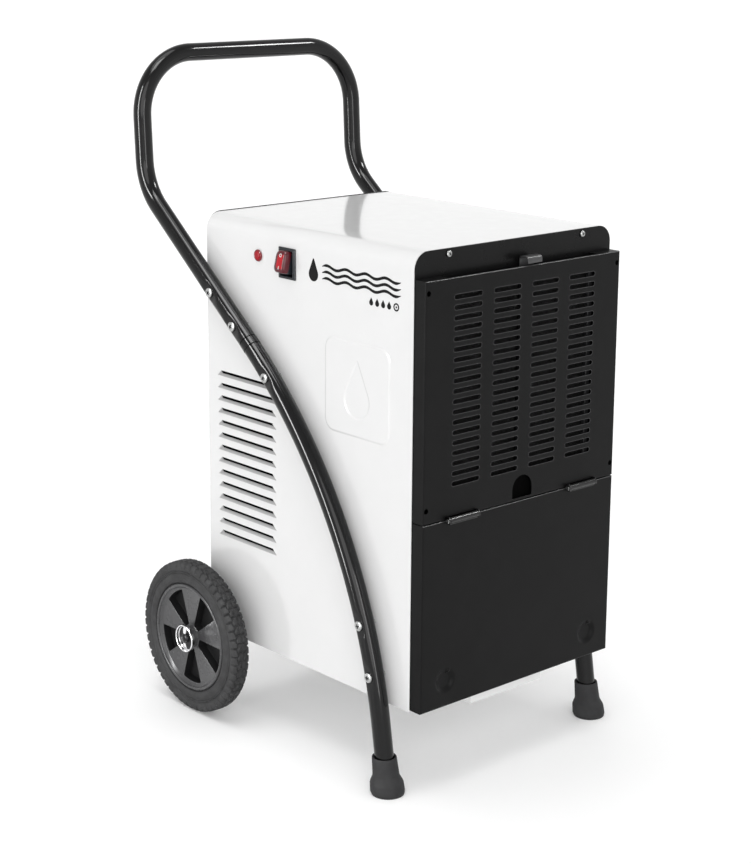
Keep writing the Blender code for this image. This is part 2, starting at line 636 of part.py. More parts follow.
def electrics():
    box("control_box", (-0.1530, 0.205, 0.590), (-0.1080, 0.330, 0.7005), BEZEL_GREY, bevel=0.002)

    side = -BODY_W / 2
    outer = ((side - 0.0030, SWITCH_Y - 0.0172, SWITCH_Z - 0.0205),
             (side - GAP, SWITCH_Y + 0.0172, SWITCH_Z + 0.0205))
    bezel = box("switch_bezel", *outer, BEZEL_GREY)
    join(bezel, box("switch_body", (side - 0.0010, SWITCH_Y - 0.0146, SWITCH_Z - 0.0181),
                    (side + 0.0216, SWITCH_Y + 0.0146, SWITCH_Z + 0.0181), cutter=True))
    cut(bezel, boxes_cutter("switch_pocket", [((side - 0.010, SWITCH_Y - 0.0130, SWITCH_Z - 0.0170),
                                               (side + 0.018, SWITCH_Y + 0.0130,
                                                SWITCH_Z + 0.0170))]))
    pivot = (side + 0.003, SWITCH_Y, SWITCH_Z)
    rocker = box("power_rocker", (side - 0.0138, SWITCH_Y - 0.0085, SWITCH_Z - 0.0130),
                 (side + 0.0040, SWITCH_Y + 0.0085, SWITCH_Z + 0.0130), RED, origin=pivot)
    join(rocker, cylinder("rocker_pivot", (side + 0.003, SWITCH_Y - 0.0125, SWITCH_Z),
                          (side + 0.003, SWITCH_Y + 0.0125, SWITCH_Z), 0.0020, cutter=True,
                          segments=8))
    rocker.rotation_euler = (0, SWITCH_TILT, 0)
    boot = box("switch_boot", (side - 0.0153, SWITCH_Y - 0.0103, SWITCH_Z - 0.0148),
               (side - 0.0005, SWITCH_Y + 0.0103, SWITCH_Z + 0.0148), BOOT_RED, origin=pivot)
    boot.rotation_euler = (0, SWITCH_TILT, 0)
    hollow = box("boot_hollow", (side - 0.0142, SWITCH_Y - 0.0090, SWITCH_Z - 0.0135),
                 (side + 0.0100, SWITCH_Y + 0.0090, SWITCH_Z + 0.0135), origin=pivot, cutter=True)
    hollow.rotation_euler = (0, SWITCH_TILT, 0)
    cut(boot, hollow)

    lamp = [(0, 0.0045), (0.0045, 0.0040), (0.0080, 0.0020), (0.0080, GAP), (0.0041, GAP),
            (0.0041, -0.0160), (0, -0.0160)]
    turned("indicator_lamp", lamp, RED, (side, LAMP_Y, LAMP_Z), axis="-X", segments=20)

    gland = [(0.0050, 0.0220), (0.0080, 0.0200), (0.0105, 0.0120), (0.0125, 0.0110),
             (0.0125, GAP), (0.0080, GAP), (0.0080, -0.0120), (0.0050, -0.0120)]
    turned("power_inlet", gland, BLACK, (INLET_X, BODY_D, INLET_Z), axis="Y", segments=20,
           closed=True)


# Tube frame

def handle_point(distance):
    """Y and Z of the handle's straight part, at a distance up from the joint."""
    return JOINT[0] + distance * math.sin(SLOPE), JOINT[1] + distance * math.cos(SLOPE)


def leg_point(distance):
    """Y and Z of the leg's arc, at a distance down from the joint."""
    angle = SLOPE - distance / LEG_R
    return (JOINT[0] - LEG_R * (math.cos(angle) - math.cos(SLOPE)),
            JOINT[1] - LEG_R * (math.sin(SLOPE) - math.sin(angle)))


def toe_point(z):
    """Y and Z of the leg's straight end at a height."""
    y_end, z_end = leg_point((SLOPE - LEG_END) * LEG_R)
    return y_end - (z_end - z) * math.tan(LEG_END), z


def tube_screw_places():
    return [handle_point(distance) for distance in HANDLE_SCREWS] + \
           [leg_point(distance) for distance in LEG_SCREWS]


def tube_frame():
    corner = handle_point(STRAIGHT)
    top_y = corner[0] + (HANDLE_Z - corner[1]) * math.tan(LEAN)
    start = handle_point(JOINT_RING / 2 + GAP)
    corners = [(-TUBE_X, *start), (-TUBE_X, *corner), (-TUBE_X, top_y, HANDLE_Z),
               (TUBE_X, top_y, HANDLE_Z), (TUBE_X, *corner), (TUBE_X, *start)]
    handle = bent_tube("handle_tube", rounded_path(corners, BEND_R, 5), TUBE_R, GLOSS_BLACK, 3)
    screws = tube_screw_places()
    for side in (-1, 1):
        name = side_name(side)
        first, last = JOINT_RING / 2 + 3 * GAP, (SLOPE - LEG_END) * LEG_R
        arc = [leg_point(first + (last - first) * step / 10) for step in range(11)]
        path = [(side * TUBE_X, y, z) for y, z in arc + [toe_point(LEG_TOE_Z)]]
        leg = bent_tube(f"leg_tube_{name}", path, TUBE_R, GLOSS_BLACK, 3)

        down, up = leg_point(0.038), handle_point(0.038)
        bore = cylinder(f"sleeve_bore_{name}", (side * TUBE_X, *leg_point(0.042)),
                        (side * TUBE_X, *handle_point(0.042)), 0.0096, cutter=True, segments=16)
        cut(leg, bore)
        cut(handle, bore)
        sleeve = cylinder(f"tube_connector_{name}", (side * TUBE_X, *down), (side * TUBE_X, *up),
                          0.0085, GALVANISED, segments=16)
        join(sleeve, cylinder(f"sleeve_ring_{name}", (side * TUBE_X, *leg_point(JOINT_RING / 2)),
                              (side * TUBE_X, *handle_point(JOINT_RING / 2)), TUBE_R, cutter=True,
                              segments=20))
        for index, (y, z) in enumerate(screws):
            tube = handle if index < len(HANDLE_SCREWS) else leg
            face = TUBE_X + TUBE_R - 0.0025
            hole = cylinder(f"tube_screw_hole_{name}_{index}", (side * 0.170, y, z),
                            (side * 0.210, y, z), 0.0033, cutter=True, segments=8)
            join(hole, cylinder(f"tube_flat_{name}_{index}", (side * face, y, z),
                                (side * 0.212, y, z), 0.0085, cutter=True, segments=12))
            cut(tube, hole)
            if index == 0:      # this one also passes through the inner sleeve
                cut(sleeve, hole)
            screw = cylinder(f"tube_screw_{name}_{index + 1}", (side * 0.168, y, z),
                             (side * (face + 0.0010), y, z), 0.0030, ZINC, segments=8)
            join(screw, cylinder(f"screw_head_{name}_{index}", (side * (face + GAP), y, z),
                                 (side * (face + 0.0035), y, z), 0.0065, cutter=True,
                                 segments=12))


def plate_screws():
    for side in (-1, 1):
        x, name = side * PLATE_SCREW_X, side_name(side)
        screw = cylinder(f"plate_screw_{name}", (x, -0.0010, PLATE_SCREW_Z),
                         (x, 0.0120, PLATE_SCREW_Z), 0.0020, ZINC, segments=8)
        join(screw, cylinder(f"plate_screw_head_{name}", (x, -0.0030, PLATE_SCREW_Z),
                             (x, -GAP, PLATE_SCREW_Z), 0.0042, cutter=True, segments=16))


# Running gear

def foot(side):
    """Flared rubber ferrule, sheared along the leg so that its sole stays flat."""
    name = f"foot_{side_name(side)}"
    profile = [(0, 0.048), (0.0160, 0.048), (0.0165, 0.040), (0.0180, 0.024), (0.0218, 0.010),
               (0.0225, 0.002), (0.0215, 0), (0, 0)]
    ferrule = turned(name, profile, RUBBER, (side * TUBE_X, toe_point(0)[0], 0), segments=24)
    bake(ferrule)
    shear = Matrix.Identity(4)
    shear[1][2] = math.tan(LEG_END)
    ferrule.data.transform(shear)
    cut(ferrule, cylinder(f"foot_socket_{side_name(side)}",
                          (side * TUBE_X, *toe_point(LEG_TOE_Z - 0.0015)),
                          (side * TUBE_X, *toe_point(0.070)), TUBE_R + 0.0004, cutter=True,
                          segments=24))


def sector(inner, outer, middle, half_inner, half_outer, depth):
    """Outline of a sector about the Z axis, with three points on its outer arc."""
    places = [(inner, -half_inner), (outer, -half_outer), (outer, 0), (outer, half_outer),
              (inner, half_inner)]
    return [(radius * math.cos(middle + turn), radius * math.sin(middle + turn), depth)
            for radius, turn in places]


def wheel(side):
    name, spin = side_name(side), (side * WHEEL_X, WHEEL_Y, WHEEL_R)
    axis = "X" if side > 0 else "-X"
    outer, inner = TYRE_X[1] - WHEEL_X, TYRE_X[0] - WHEEL_X
    tyre = [(RIM_R + GAP, outer), (0.100, outer), (WHEEL_R, outer - 0.007),
            (WHEEL_R, inner + 0.007), (0.100, inner), (RIM_R + GAP, inner)]
    turned(f"tyre_{name}", tyre, RUBBER, spin, axis, 30, closed=True)
    hub_out, hub_in = HUB_X[1] - WHEEL_X, HUB_X[0] - WHEEL_X
    disc_in, disc_out = DISC_X[0] - WHEEL_X, DISC_X[1] - WHEEL_X
    band_out, band_in, bore = outer - 0.001, inner + 0.001, AXLE_R + 0.0003
    lip = RIM_R - 0.0035
    rim = [(bore, hub_out), (HUB_R, hub_out), (HUB_R, disc_out), (DISC_R, disc_out),
           (lip, band_out), (RIM_R, band_out), (RIM_R, band_in), (lip, band_in),
           (DISC_R + 0.001, disc_in), (HUB_R, disc_in), (HUB_R, hub_in), (bore, hub_in)]
    disc = turned(f"rim_{name}", rim, RIM_GREY, spin, axis, 30, closed=True)
    for index in range(5):
        spoke, pocket = math.radians(72 * index), math.radians(72 * index + 36)
        hollows = {
            "pocket": (sector(*POCKET_R, pocket, POCKET_HALF, POCKET_HALF, disc_in + DISC_WALL),
                       0.025),
            "spoke_hollow": (sector(0.0210, 0.0650, spoke, math.radians(9), math.radians(15),
                                    disc_out - DISC_WALL), -0.025)}
        for kind, (outline, depth) in hollows.items():
            bm = extrude_outline(outline, (0, 0, depth))
            hollow = add_object(f"{kind}_{name}_{index}", mesh_from(bm, kind), origin=spin,
                                cutter=True)
            hollow.rotation_euler = (0, math.copysign(math.pi / 2, side), 0)
            cut(disc, hollow)
    cap = [(0.0, 0.0065), (0.010, 0.0060), (0.018, 0.0035), (0.0195, 0.0003), (0.0075, 0.0003),
           (0.0070, 0.0050), (0.0, 0.0052)]
    turned(f"push_cap_{name}", cap, CHROME, (side * HUB_X[1], WHEEL_Y, WHEEL_R), axis, 24)


def running_gear():
    reach = HUB_X[1] + 0.0045
    cylinder("wheel_axle", (-reach, WHEEL_Y, WHEEL_R), (reach, WHEEL_Y, WHEEL_R), AXLE_R, ZINC,
             segments=16)
    for side in (-1, 1):
        x0, x1 = sorted((side * CLAMP_X[0], side * CLAMP_X[1]))
        clamp = box(f"axle_clamp_{side_name(side)}", (x0, WHEEL_Y - 0.010, 0.098),
                    (x1, WHEEL_Y + 0.010, BODY_Z0 - GAP), GALVANISED)
        bore = boxes_cutter(f"clamp_slot_{side_name(side)}",
                            [((x0 - 0.01, WHEEL_Y - AXLE_R - 0.0003, WHEEL_R),
                              (x1 + 0.01, WHEEL_Y + AXLE_R + 0.0003, 0.12))])
        join(bore, cylinder(f"clamp_bore_{side_name(side)}", (x0 - 0.01, WHEEL_Y, WHEEL_R),
                            (x1 + 0.01, WHEEL_Y, WHEEL_R), AXLE_R + 0.0003, cutter=True,
                            segments=16))
        cut(clamp, bore)
        wheel(side)
        foot(side)


casing_shell()
front_plate()
rear_panel()
base_tray()
grille_cover()
tank_door()
hinge_pins()
air_filter()
coil("evaporator", 0.0060, 0.0500, 0.3720, 0.6480, ALUMINIUM)
coil("condenser", 0.0580, 0.1020, 0.3720, 0.6480, ALUMINIUM)
fan()
compressor()
refrigerant_lines()
water_side()
electrics()
tube_frame()
plate_screws()
running_gear()
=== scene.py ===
"""Looks of the wheeled condensation dehumidifier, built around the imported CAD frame.

Metres, +Z up, the frame's own axes.  Most pieces are modelled in the cabinet's frame, whose Y = 0 is
the outer face of the front plate, and are moved into the row frame when they are added.
"""

from math import copysign, cos, floor, hypot, pi, radians, sin, sqrt, tan, tanh

import bmesh
import bpy
import numpy as np
from mathutils import Matrix, Vector


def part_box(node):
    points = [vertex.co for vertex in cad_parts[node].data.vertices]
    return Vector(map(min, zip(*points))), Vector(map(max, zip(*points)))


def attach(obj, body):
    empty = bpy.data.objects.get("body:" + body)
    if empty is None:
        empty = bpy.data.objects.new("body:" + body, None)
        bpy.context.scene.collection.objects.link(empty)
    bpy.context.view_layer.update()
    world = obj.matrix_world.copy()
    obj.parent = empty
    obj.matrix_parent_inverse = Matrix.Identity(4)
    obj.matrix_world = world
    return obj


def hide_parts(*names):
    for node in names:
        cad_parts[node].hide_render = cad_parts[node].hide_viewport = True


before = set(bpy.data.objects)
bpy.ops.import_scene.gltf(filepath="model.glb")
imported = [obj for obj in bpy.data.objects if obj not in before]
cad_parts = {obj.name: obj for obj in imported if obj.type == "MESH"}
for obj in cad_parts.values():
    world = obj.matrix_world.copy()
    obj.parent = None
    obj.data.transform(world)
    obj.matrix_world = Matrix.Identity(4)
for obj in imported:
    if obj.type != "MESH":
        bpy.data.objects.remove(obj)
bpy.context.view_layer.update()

# Places read from the frame
PLATE_LO, PLATE_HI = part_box("front_plate")
CASE_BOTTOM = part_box("casing_shell")[0].z
COVER_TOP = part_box("grille_cover")[1].z
DOOR_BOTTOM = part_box("tank_door")[0].z
TYRE_LO, TYRE_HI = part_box("tyre_left")
FRONT = PLATE_LO.y
HALF_W = PLATE_HI.x
BOTTOM, TOP = PLATE_LO.z, PLATE_HI.z
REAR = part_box("rear_panel")[1].y - FRONT

# Sheet metal
SHEET, PLATE, BEND, GAP = 0.0012, 0.0015, 0.0016, 0.0003
CORNER_R = 0.022
COVER_D = 0.0185
SPLIT_Z = 0.3635
HINGE_Y, HINGE_R, HINGE_X, KNUCKLE_L = -0.0228, 0.004, 0.109, 0.048
GRILLE_COLUMNS, GRILLE_ROWS, GRILLE_PITCH = (-0.1025, -0.0342, 0.0342, 0.1025), 19, 0.01313
GRILLE_TOP, GRILLE_SLOT = 0.6447, (0.048, 0.0062)
HOLE_X, HOLE_ZS = 0.1692, (0.6539, 0.3815)
ARCH_Z, ARCH_R = 0.3790, 0.0178
LOUVRES, LOUVRE_PITCH, LOUVRE_Y, LOUVRE_BOTTOM = 14, 0.01753, (0.2672, 0.3936), 0.2564
LOUVRE_H, LOUVRE_SLANT, LOUVRE_DEPTH, LOUVRE_LIP = 0.0076, 0.0072, 0.0045, 0.0020
SQUARE, SQUARE_HALF, SQUARE_R, SQUARE_H = (0.1045, 0.5131), 0.0607, 0.015, 0.0012
DISH_X, DISH_Z, DISH_R, DISH_DEPTH = 0.132, 0.150, 0.0175, 0.0036

# Tube frame
TUBE_R, TUBE_X, JOINT, JOINT_RING = 0.0125, 0.1908, (0.3010, 0.5410), 0.013
SLOPE, LEAN, STRAIGHT, HANDLE_Z, BEND_R = radians(51.5), radians(3.1), 0.2970, 0.907, 0.085
LEG_R, LEG_END, LEG_TOE_Z = 0.723, radians(9), 0.010
HANDLE_SCREWS, LEG_SCREWS = (0.034, 0.096), (0.056, 0.405, 0.472)
FLAT_DEPTH, FLAT_HALF = 0.0026, 0.024

# Running gear
SIDES = ((-1, "left"), (1, "right"))
WHEEL = Vector((0.2118, (TYRE_LO.y + TYRE_HI.y) / 2, (TYRE_LO.z + TYRE_HI.z) / 2))
WHEEL_R = (TYRE_HI.z - TYRE_LO.z) / 2
TYRE_HALF = (TYRE_HI.x - TYRE_LO.x) / 2
RIM_R, DISC_R, HUB_R = 0.0765, 0.0685, 0.0148
HUB_FACE, DISC_FACE, DISC_BACK, HUB_BACK = 0.0152, 0.0072, -0.0088, -0.0318

# Controls
SWITCH_Y, SWITCH_Z, SWITCH_TILT = 0.242, 0.656, radians(14)
SWITCH_HOLE, LAMP_HOLE_R, AXLE_HOLE_R = (0.0150, 0.0185), 0.0045, 0.0072
LAMP_Y, LAMP_Z = 0.3023, 0.6585
FLOAT_PIVOT = (0.090, 0.121, 0.290)


# Mesh helpers

def arc_points(centre, radius, first, last, steps):
    """Points (u, v) on an arc, angles in degrees."""
    return [(centre[0] + radius * cos(radians(first + (last - first) * step / steps)),
             centre[1] + radius * sin(radians(first + (last - first) * step / steps)))
            for step in range(steps + 1)]


def rounded(corners, radius, steps=4, closed=False):
    """A polyline whose corners are arcs; each arc is kept within half of its shorter side."""
    corners = [Vector(corner) for corner in corners]
    count = len(corners)
    points = [] if closed else [corners[0]]
    for index in (range(count) if closed else range(1, count - 1)):
        before, corner, after = corners[index - 1], corners[index], corners[(index + 1) % count]
        back, ahead = before - corner, after - corner
        room = 0.48 * min(back.length, ahead.length)
        back.normalize()
        ahead.normalize()
        half = back.angle(ahead) / 2
        if half > radians(89) or room < 1e-6:
            points.append(corner)
            continue
        reach = min(radius / tan(half), room)
        start, end = corner + back * reach, corner + ahead * reach
        centre = corner + (back + ahead).normalized() * reach / cos(half)
        size = (start - centre).length
        for step in range(steps + 1):
            blend = start.lerp(end, step / steps) - centre
            points.append(centre + blend.normalized() * size)
    return points if closed else points + [corners[-1]]


def resample(points, spacing):
    """The same polyline with points at nearly equal spacing."""
    points = np.array([tuple(point) for point in points])
    along = np.concatenate([[0], np.cumsum(np.linalg.norm(np.diff(points, axis=0), axis=1))])
    places = np.linspace(0, along[-1], max(2, round(along[-1] / spacing) + 1))
    return np.stack([np.interp(places, along, points[:, axis]) for axis in range(points.shape[1])], 1)


def mm(*points):
    """Points given in millimetres."""
    return [tuple(value / 1000 for value in point) for point in points]


def spread(*stops):
    """Grid lines from (place, step) stops: from each place to the next in steps of about that size."""
    lines = []
    for (low, step), (high, _) in zip(stops, stops[1:]):
        count = max(1, round((high - low) / step))
        lines += [low + (high - low) * index / count for index in range(count)]
    return lines + [stops[-1][0]]


def smooth(value):
    value = min(1.0, max(0.0, value))
    return value * value * (3 - 2 * value)


def grid_mesh(bm, rows, close_rows=False, close_columns=False):
    """Faces between rows of points; a row or a column can close on itself."""
    verts = [[bm.verts.new(point) for point in row] for row in rows]
    height, width = len(rows), len(rows[0])
    for i in range(height if close_rows else height - 1):
        for j in range(width if close_columns else width - 1):
            k, m = (i + 1) % height, (j + 1) % width
            bm.faces.new((verts[i][j], verts[i][m], verts[k][m], verts[k][j]))
    return verts


def loft(bm, rings, cap_first=True, cap_last=True):
    """A skin through closed rings of points, capped at its ends."""
    verts = grid_mesh(bm, rings, close_columns=True)
    if cap_first:
        bm.faces.new(verts[0][::-1])
    if cap_last:
        bm.faces.new(verts[-1])
    return verts


def add_prism(bm, outline, axis, near, far):
    """A closed prism between two copies of a flat outline, at near and far along the axis."""
    loft(bm, [flat_ring(outline, axis, place) for place in (near, far)])


def flat_ring(outline, axis, place):
    """Points of a flat outline; its (u, v) are the two axes that are left, in order."""
    return [(*point[:axis], place, *point[axis:]) for point in map(tuple, outline)]


def add_band(bm, inner, outer, axis, near, far):
    """A closed band between an inner and an outer outline."""
    rings = [flat_ring(outline, axis, place) for outline, place in
             ((outer, far), (outer, near), (inner, near), (inner, far))]
    grid_mesh(bm, rings, close_rows=True, close_columns=True)


def placed(point, turn=0.0, axis="Z"):
    """A matrix that turns about an axis, in degrees, and then moves to a point."""
    return Matrix.Translation(point) @ Matrix.Rotation(radians(turn), 4, axis)


def middle_of(node):
    low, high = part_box(node)
    return (low + high) / 2


def add_box(bm, low, high, matrix=Matrix.Identity(4)):
    low, high = Vector(low), Vector(high)
    scaled = Matrix.Translation((low + high) / 2) @ Matrix.Diagonal((*(high - low), 1))
    bmesh.ops.create_cube(bm, size=1.0, matrix=matrix @ scaled)


def add_turned(bm, profile, segments=64, closed=False, matrix=Matrix.Identity(4)):
    """A surface turned about Z from (radius, height) points; points at radius 0 close it."""
    rings = []
    for radius, height in profile:
        count = 1 if radius < 1e-7 else segments
        rings.append([bm.verts.new(matrix @ Vector((radius * cos(2 * pi * step / segments),
                                                    radius * sin(2 * pi * step / segments),
                                                    height))) for step in range(count)])
    pairs = list(zip(rings, rings[1:])) + ([(rings[-1], rings[0])] if closed else [])
    for first, second in pairs:
        for step in range(segments):
            after = step + 1
            corners = [first[step % len(first)], first[after % len(first)],
                       second[after % len(second)], second[step % len(second)]]
            corners = list(dict.fromkeys(corners))
            if len(corners) > 2:
                bm.faces.new(corners)


def x_rod(bm, x0, x1, y, z, radius, segments=32, chamfer=0.0004):
    """A rod along X with softened ends."""
    profile = [(0, x0), (radius - chamfer, x0), (radius, x0 + chamfer), (radius, x1 - chamfer),
               (radius - chamfer, x1), (0, x1)]
    add_turned(bm, profile, segments, matrix=placed((0, y, z), 90, "Y"))


def rounded_rectangle(half_u, half_v, radius, steps=5, centre=(0, 0)):
    outline = []
    for sign_u, sign_v, first in ((1, -1, -90), (1, 1, 0), (-1, 1, 90), (-1, -1, 180)):
        middle = (centre[0] + sign_u * (half_u - radius), centre[1] + sign_v * (half_v - radius))
        outline += arc_points(middle, radius, first, first + 90, steps)
    return outline


def stadium(u, v, length, height, steps=7):
    reach = (length - height) / 2
    return (arc_points((u + reach, v), height / 2, -90, 90, steps)
            + arc_points((u - reach, v), height / 2, 90, 270, steps))


def to_mesh(bm, name, sharp=32):
    bmesh.ops.recalc_face_normals(bm, faces=bm.faces)
    mesh = bpy.data.meshes.new(name)
    bm.to_mesh(mesh)
    bm.free()
    mesh.shade_smooth()
    mesh.set_sharp_from_angle(angle=radians(sharp))
    return mesh


def new_object(name, data, location=(0, FRONT, 0)):
    item = bpy.data.objects.new(name, data)
    bpy.context.scene.collection.objects.link(item)
    item.location = location
    return item


def add_piece(name, source, finish, nodes=(), body="cabinet", location=(0, FRONT, 0),
              sharp=32, place=None):
    """A visible piece: it gets its finish, rides on its body and stands for its CAD nodes."""
    mesh = to_mesh(source, name, sharp) if isinstance(source, bmesh.types.BMesh) else source
    item = new_object(name, mesh, location)
    if place is not None:
        item.matrix_world = place
    if not mesh.materials:
        mesh.materials.append(MATERIALS[finish])
    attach(item, body)
    if nodes:
        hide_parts(*nodes)
    return item


def apply_modifiers(item, sharp=32):
    """Bakes an object's modifiers into its mesh."""
    bpy.context.view_layer.update()
    evaluated = item.evaluated_get(bpy.context.evaluated_depsgraph_get())
    mesh = bpy.data.meshes.new_from_object(evaluated)
    mesh.name = item.name
    item.modifiers.clear()
    item.data = mesh
    mesh.shade_smooth()
    mesh.set_sharp_from_angle(angle=radians(sharp))


def cut(item, *cutters):
    """Cuts the cutters' meshes out of an object and removes them."""
    tools = []
    for index, bm in enumerate(cutters):
        tool = new_object(f"{item.name}_tool_{index}", to_mesh(bm, "tool"), item.location)
        boolean = item.modifiers.new(f"cut_{index}", "BOOLEAN")
        boolean.object = tool
        tools.append(tool)
    apply_modifiers(item)
    for tool in tools:
        bpy.data.objects.remove(tool)


def thicken(item, thickness, offset=-1.0):
    skin = item.modifiers.new("skin", "SOLIDIFY")
    skin.thickness = thickness
    skin.offset = offset
    skin.use_even_offset = True


def paint_top_bend_highlight(item, top):
    """Paints a highlight on the bend along a pan's top: its faces that look up and forward get the
    lighter material.
    """
    item.data.materials.append(MATERIALS["edge"])
    for face in item.data.polygons:
        if face.center.z > top - 0.003 and face.normal.z > 0.5 and 0.30 < -face.normal.y < 0.90:
            face.material_index = 1


def soften(item, width, angle=35):
    """Small broken edges; the flat faces between them stay flat."""
    edge = item.modifiers.new("edges", "BEVEL")
    edge.width = width
    edge.segments = 1
    edge.limit_method = "ANGLE"
    edge.angle_limit = radians(angle)
    apply_modifiers(item, 30)


# Materials

def add_node(tree, kind, sockets):
    """A shader node; each socket gets a plain value or a link from another node's output."""
    node = tree.nodes.new("ShaderNode" + kind)
    for socket, value in sockets.items():
        if isinstance(value, bpy.types.NodeSocket):
            tree.links.new(value, node.inputs[socket])
        else:
            node.inputs[socket].default_value = value
    return node


def noise_node(tree, scale, detail=3.0, stretch=(1, 1, 1)):
    place = add_node(tree, "TexCoord", {}).outputs["Object"]
    mapped = add_node(tree, "Mapping", {"Scale": stretch, "Vector": place}).outputs["Vector"]
    sockets = {"Scale": scale, "Detail": detail, "Roughness": 0.5, "Vector": mapped}
    return add_node(tree, "TexNoise", sockets).outputs["Fac"]


def ramp_node(tree, source, first, second, low=0.35, high=0.65):
    """A colour ramp from the first colour to the second."""
    ramp = add_node(tree, "ValToRGB", {"Fac": source})
    for stop, place, colour in zip(ramp.color_ramp.elements, (low, high), (first, second)):
        stop.position = place
        stop.color = (*colour, 1)
    return ramp.outputs["Color"]


def range_node(tree, source, low, high, source_low=0.3, source_high=0.7):
    sockets = {"From Min": source_low, "From Max": source_high, "To Min": low, "To Max": high,
               "Value": source}
    return add_node(tree, "MapRange", sockets).outputs["Result"]


def bump_node(tree, source, depth, **below):
    """Bump whose height runs over the depth in micrometres; Normal is a bump that it lies on."""
    sockets = {"Strength": 1.0, "Distance": depth * 1e-6, "Height": source, **below}
    return add_node(tree, "Bump", sockets).outputs["Normal"]


def finish_material(name, colour, roughness, metallic=0.0, tint=0.04, patch=30, rough_patch=60,
                    grain=900, depth=20, stretch=(1, 1, 1), wave=0, specular=0.5, coat=(0, 0.03),
                    transmission=0, ior=1.5, glow=0):
    """A Principled surface with patches of tint, uneven gloss and a fine grain.

    tint is the share by which the colour varies, and patch and rough_patch are noise scales. depth is
    the grain's, and wave that of a wider ripple such as orange peel, both in micrometres."""
    material = bpy.data.materials.new(name)
    material.use_nodes = True
    tree = material.node_tree
    shader = tree.nodes["Principled BSDF"]
    for socket, value in (("Metallic", metallic), ("Specular IOR Level", specular),
                          ("Coat Weight", coat[0]), ("Coat Roughness", coat[1]),
                          ("Transmission Weight", transmission), ("IOR", ior),
                          ("Emission Color", (1, 1, 1, 1)), ("Emission Strength", glow)):
        shader.inputs[socket].default_value = value
    dark = [channel * (1 - tint) for channel in colour]
    light = [min(1.0, channel * (1 + tint)) for channel in colour]
    tree.links.new(ramp_node(tree, noise_node(tree, patch, stretch=stretch), dark, light),
                   shader.inputs["Base Color"])
    tree.links.new(range_node(tree, noise_node(tree, rough_patch, stretch=stretch), *roughness),
                   shader.inputs["Roughness"])
    normal = bump_node(tree, noise_node(tree, grain, detail=2, stretch=stretch), depth)
    if wave:
        normal = bump_node(tree, noise_node(tree, grain / 4, detail=1), wave, Normal=normal)
    tree.links.new(normal, shader.inputs["Normal"])
    return material


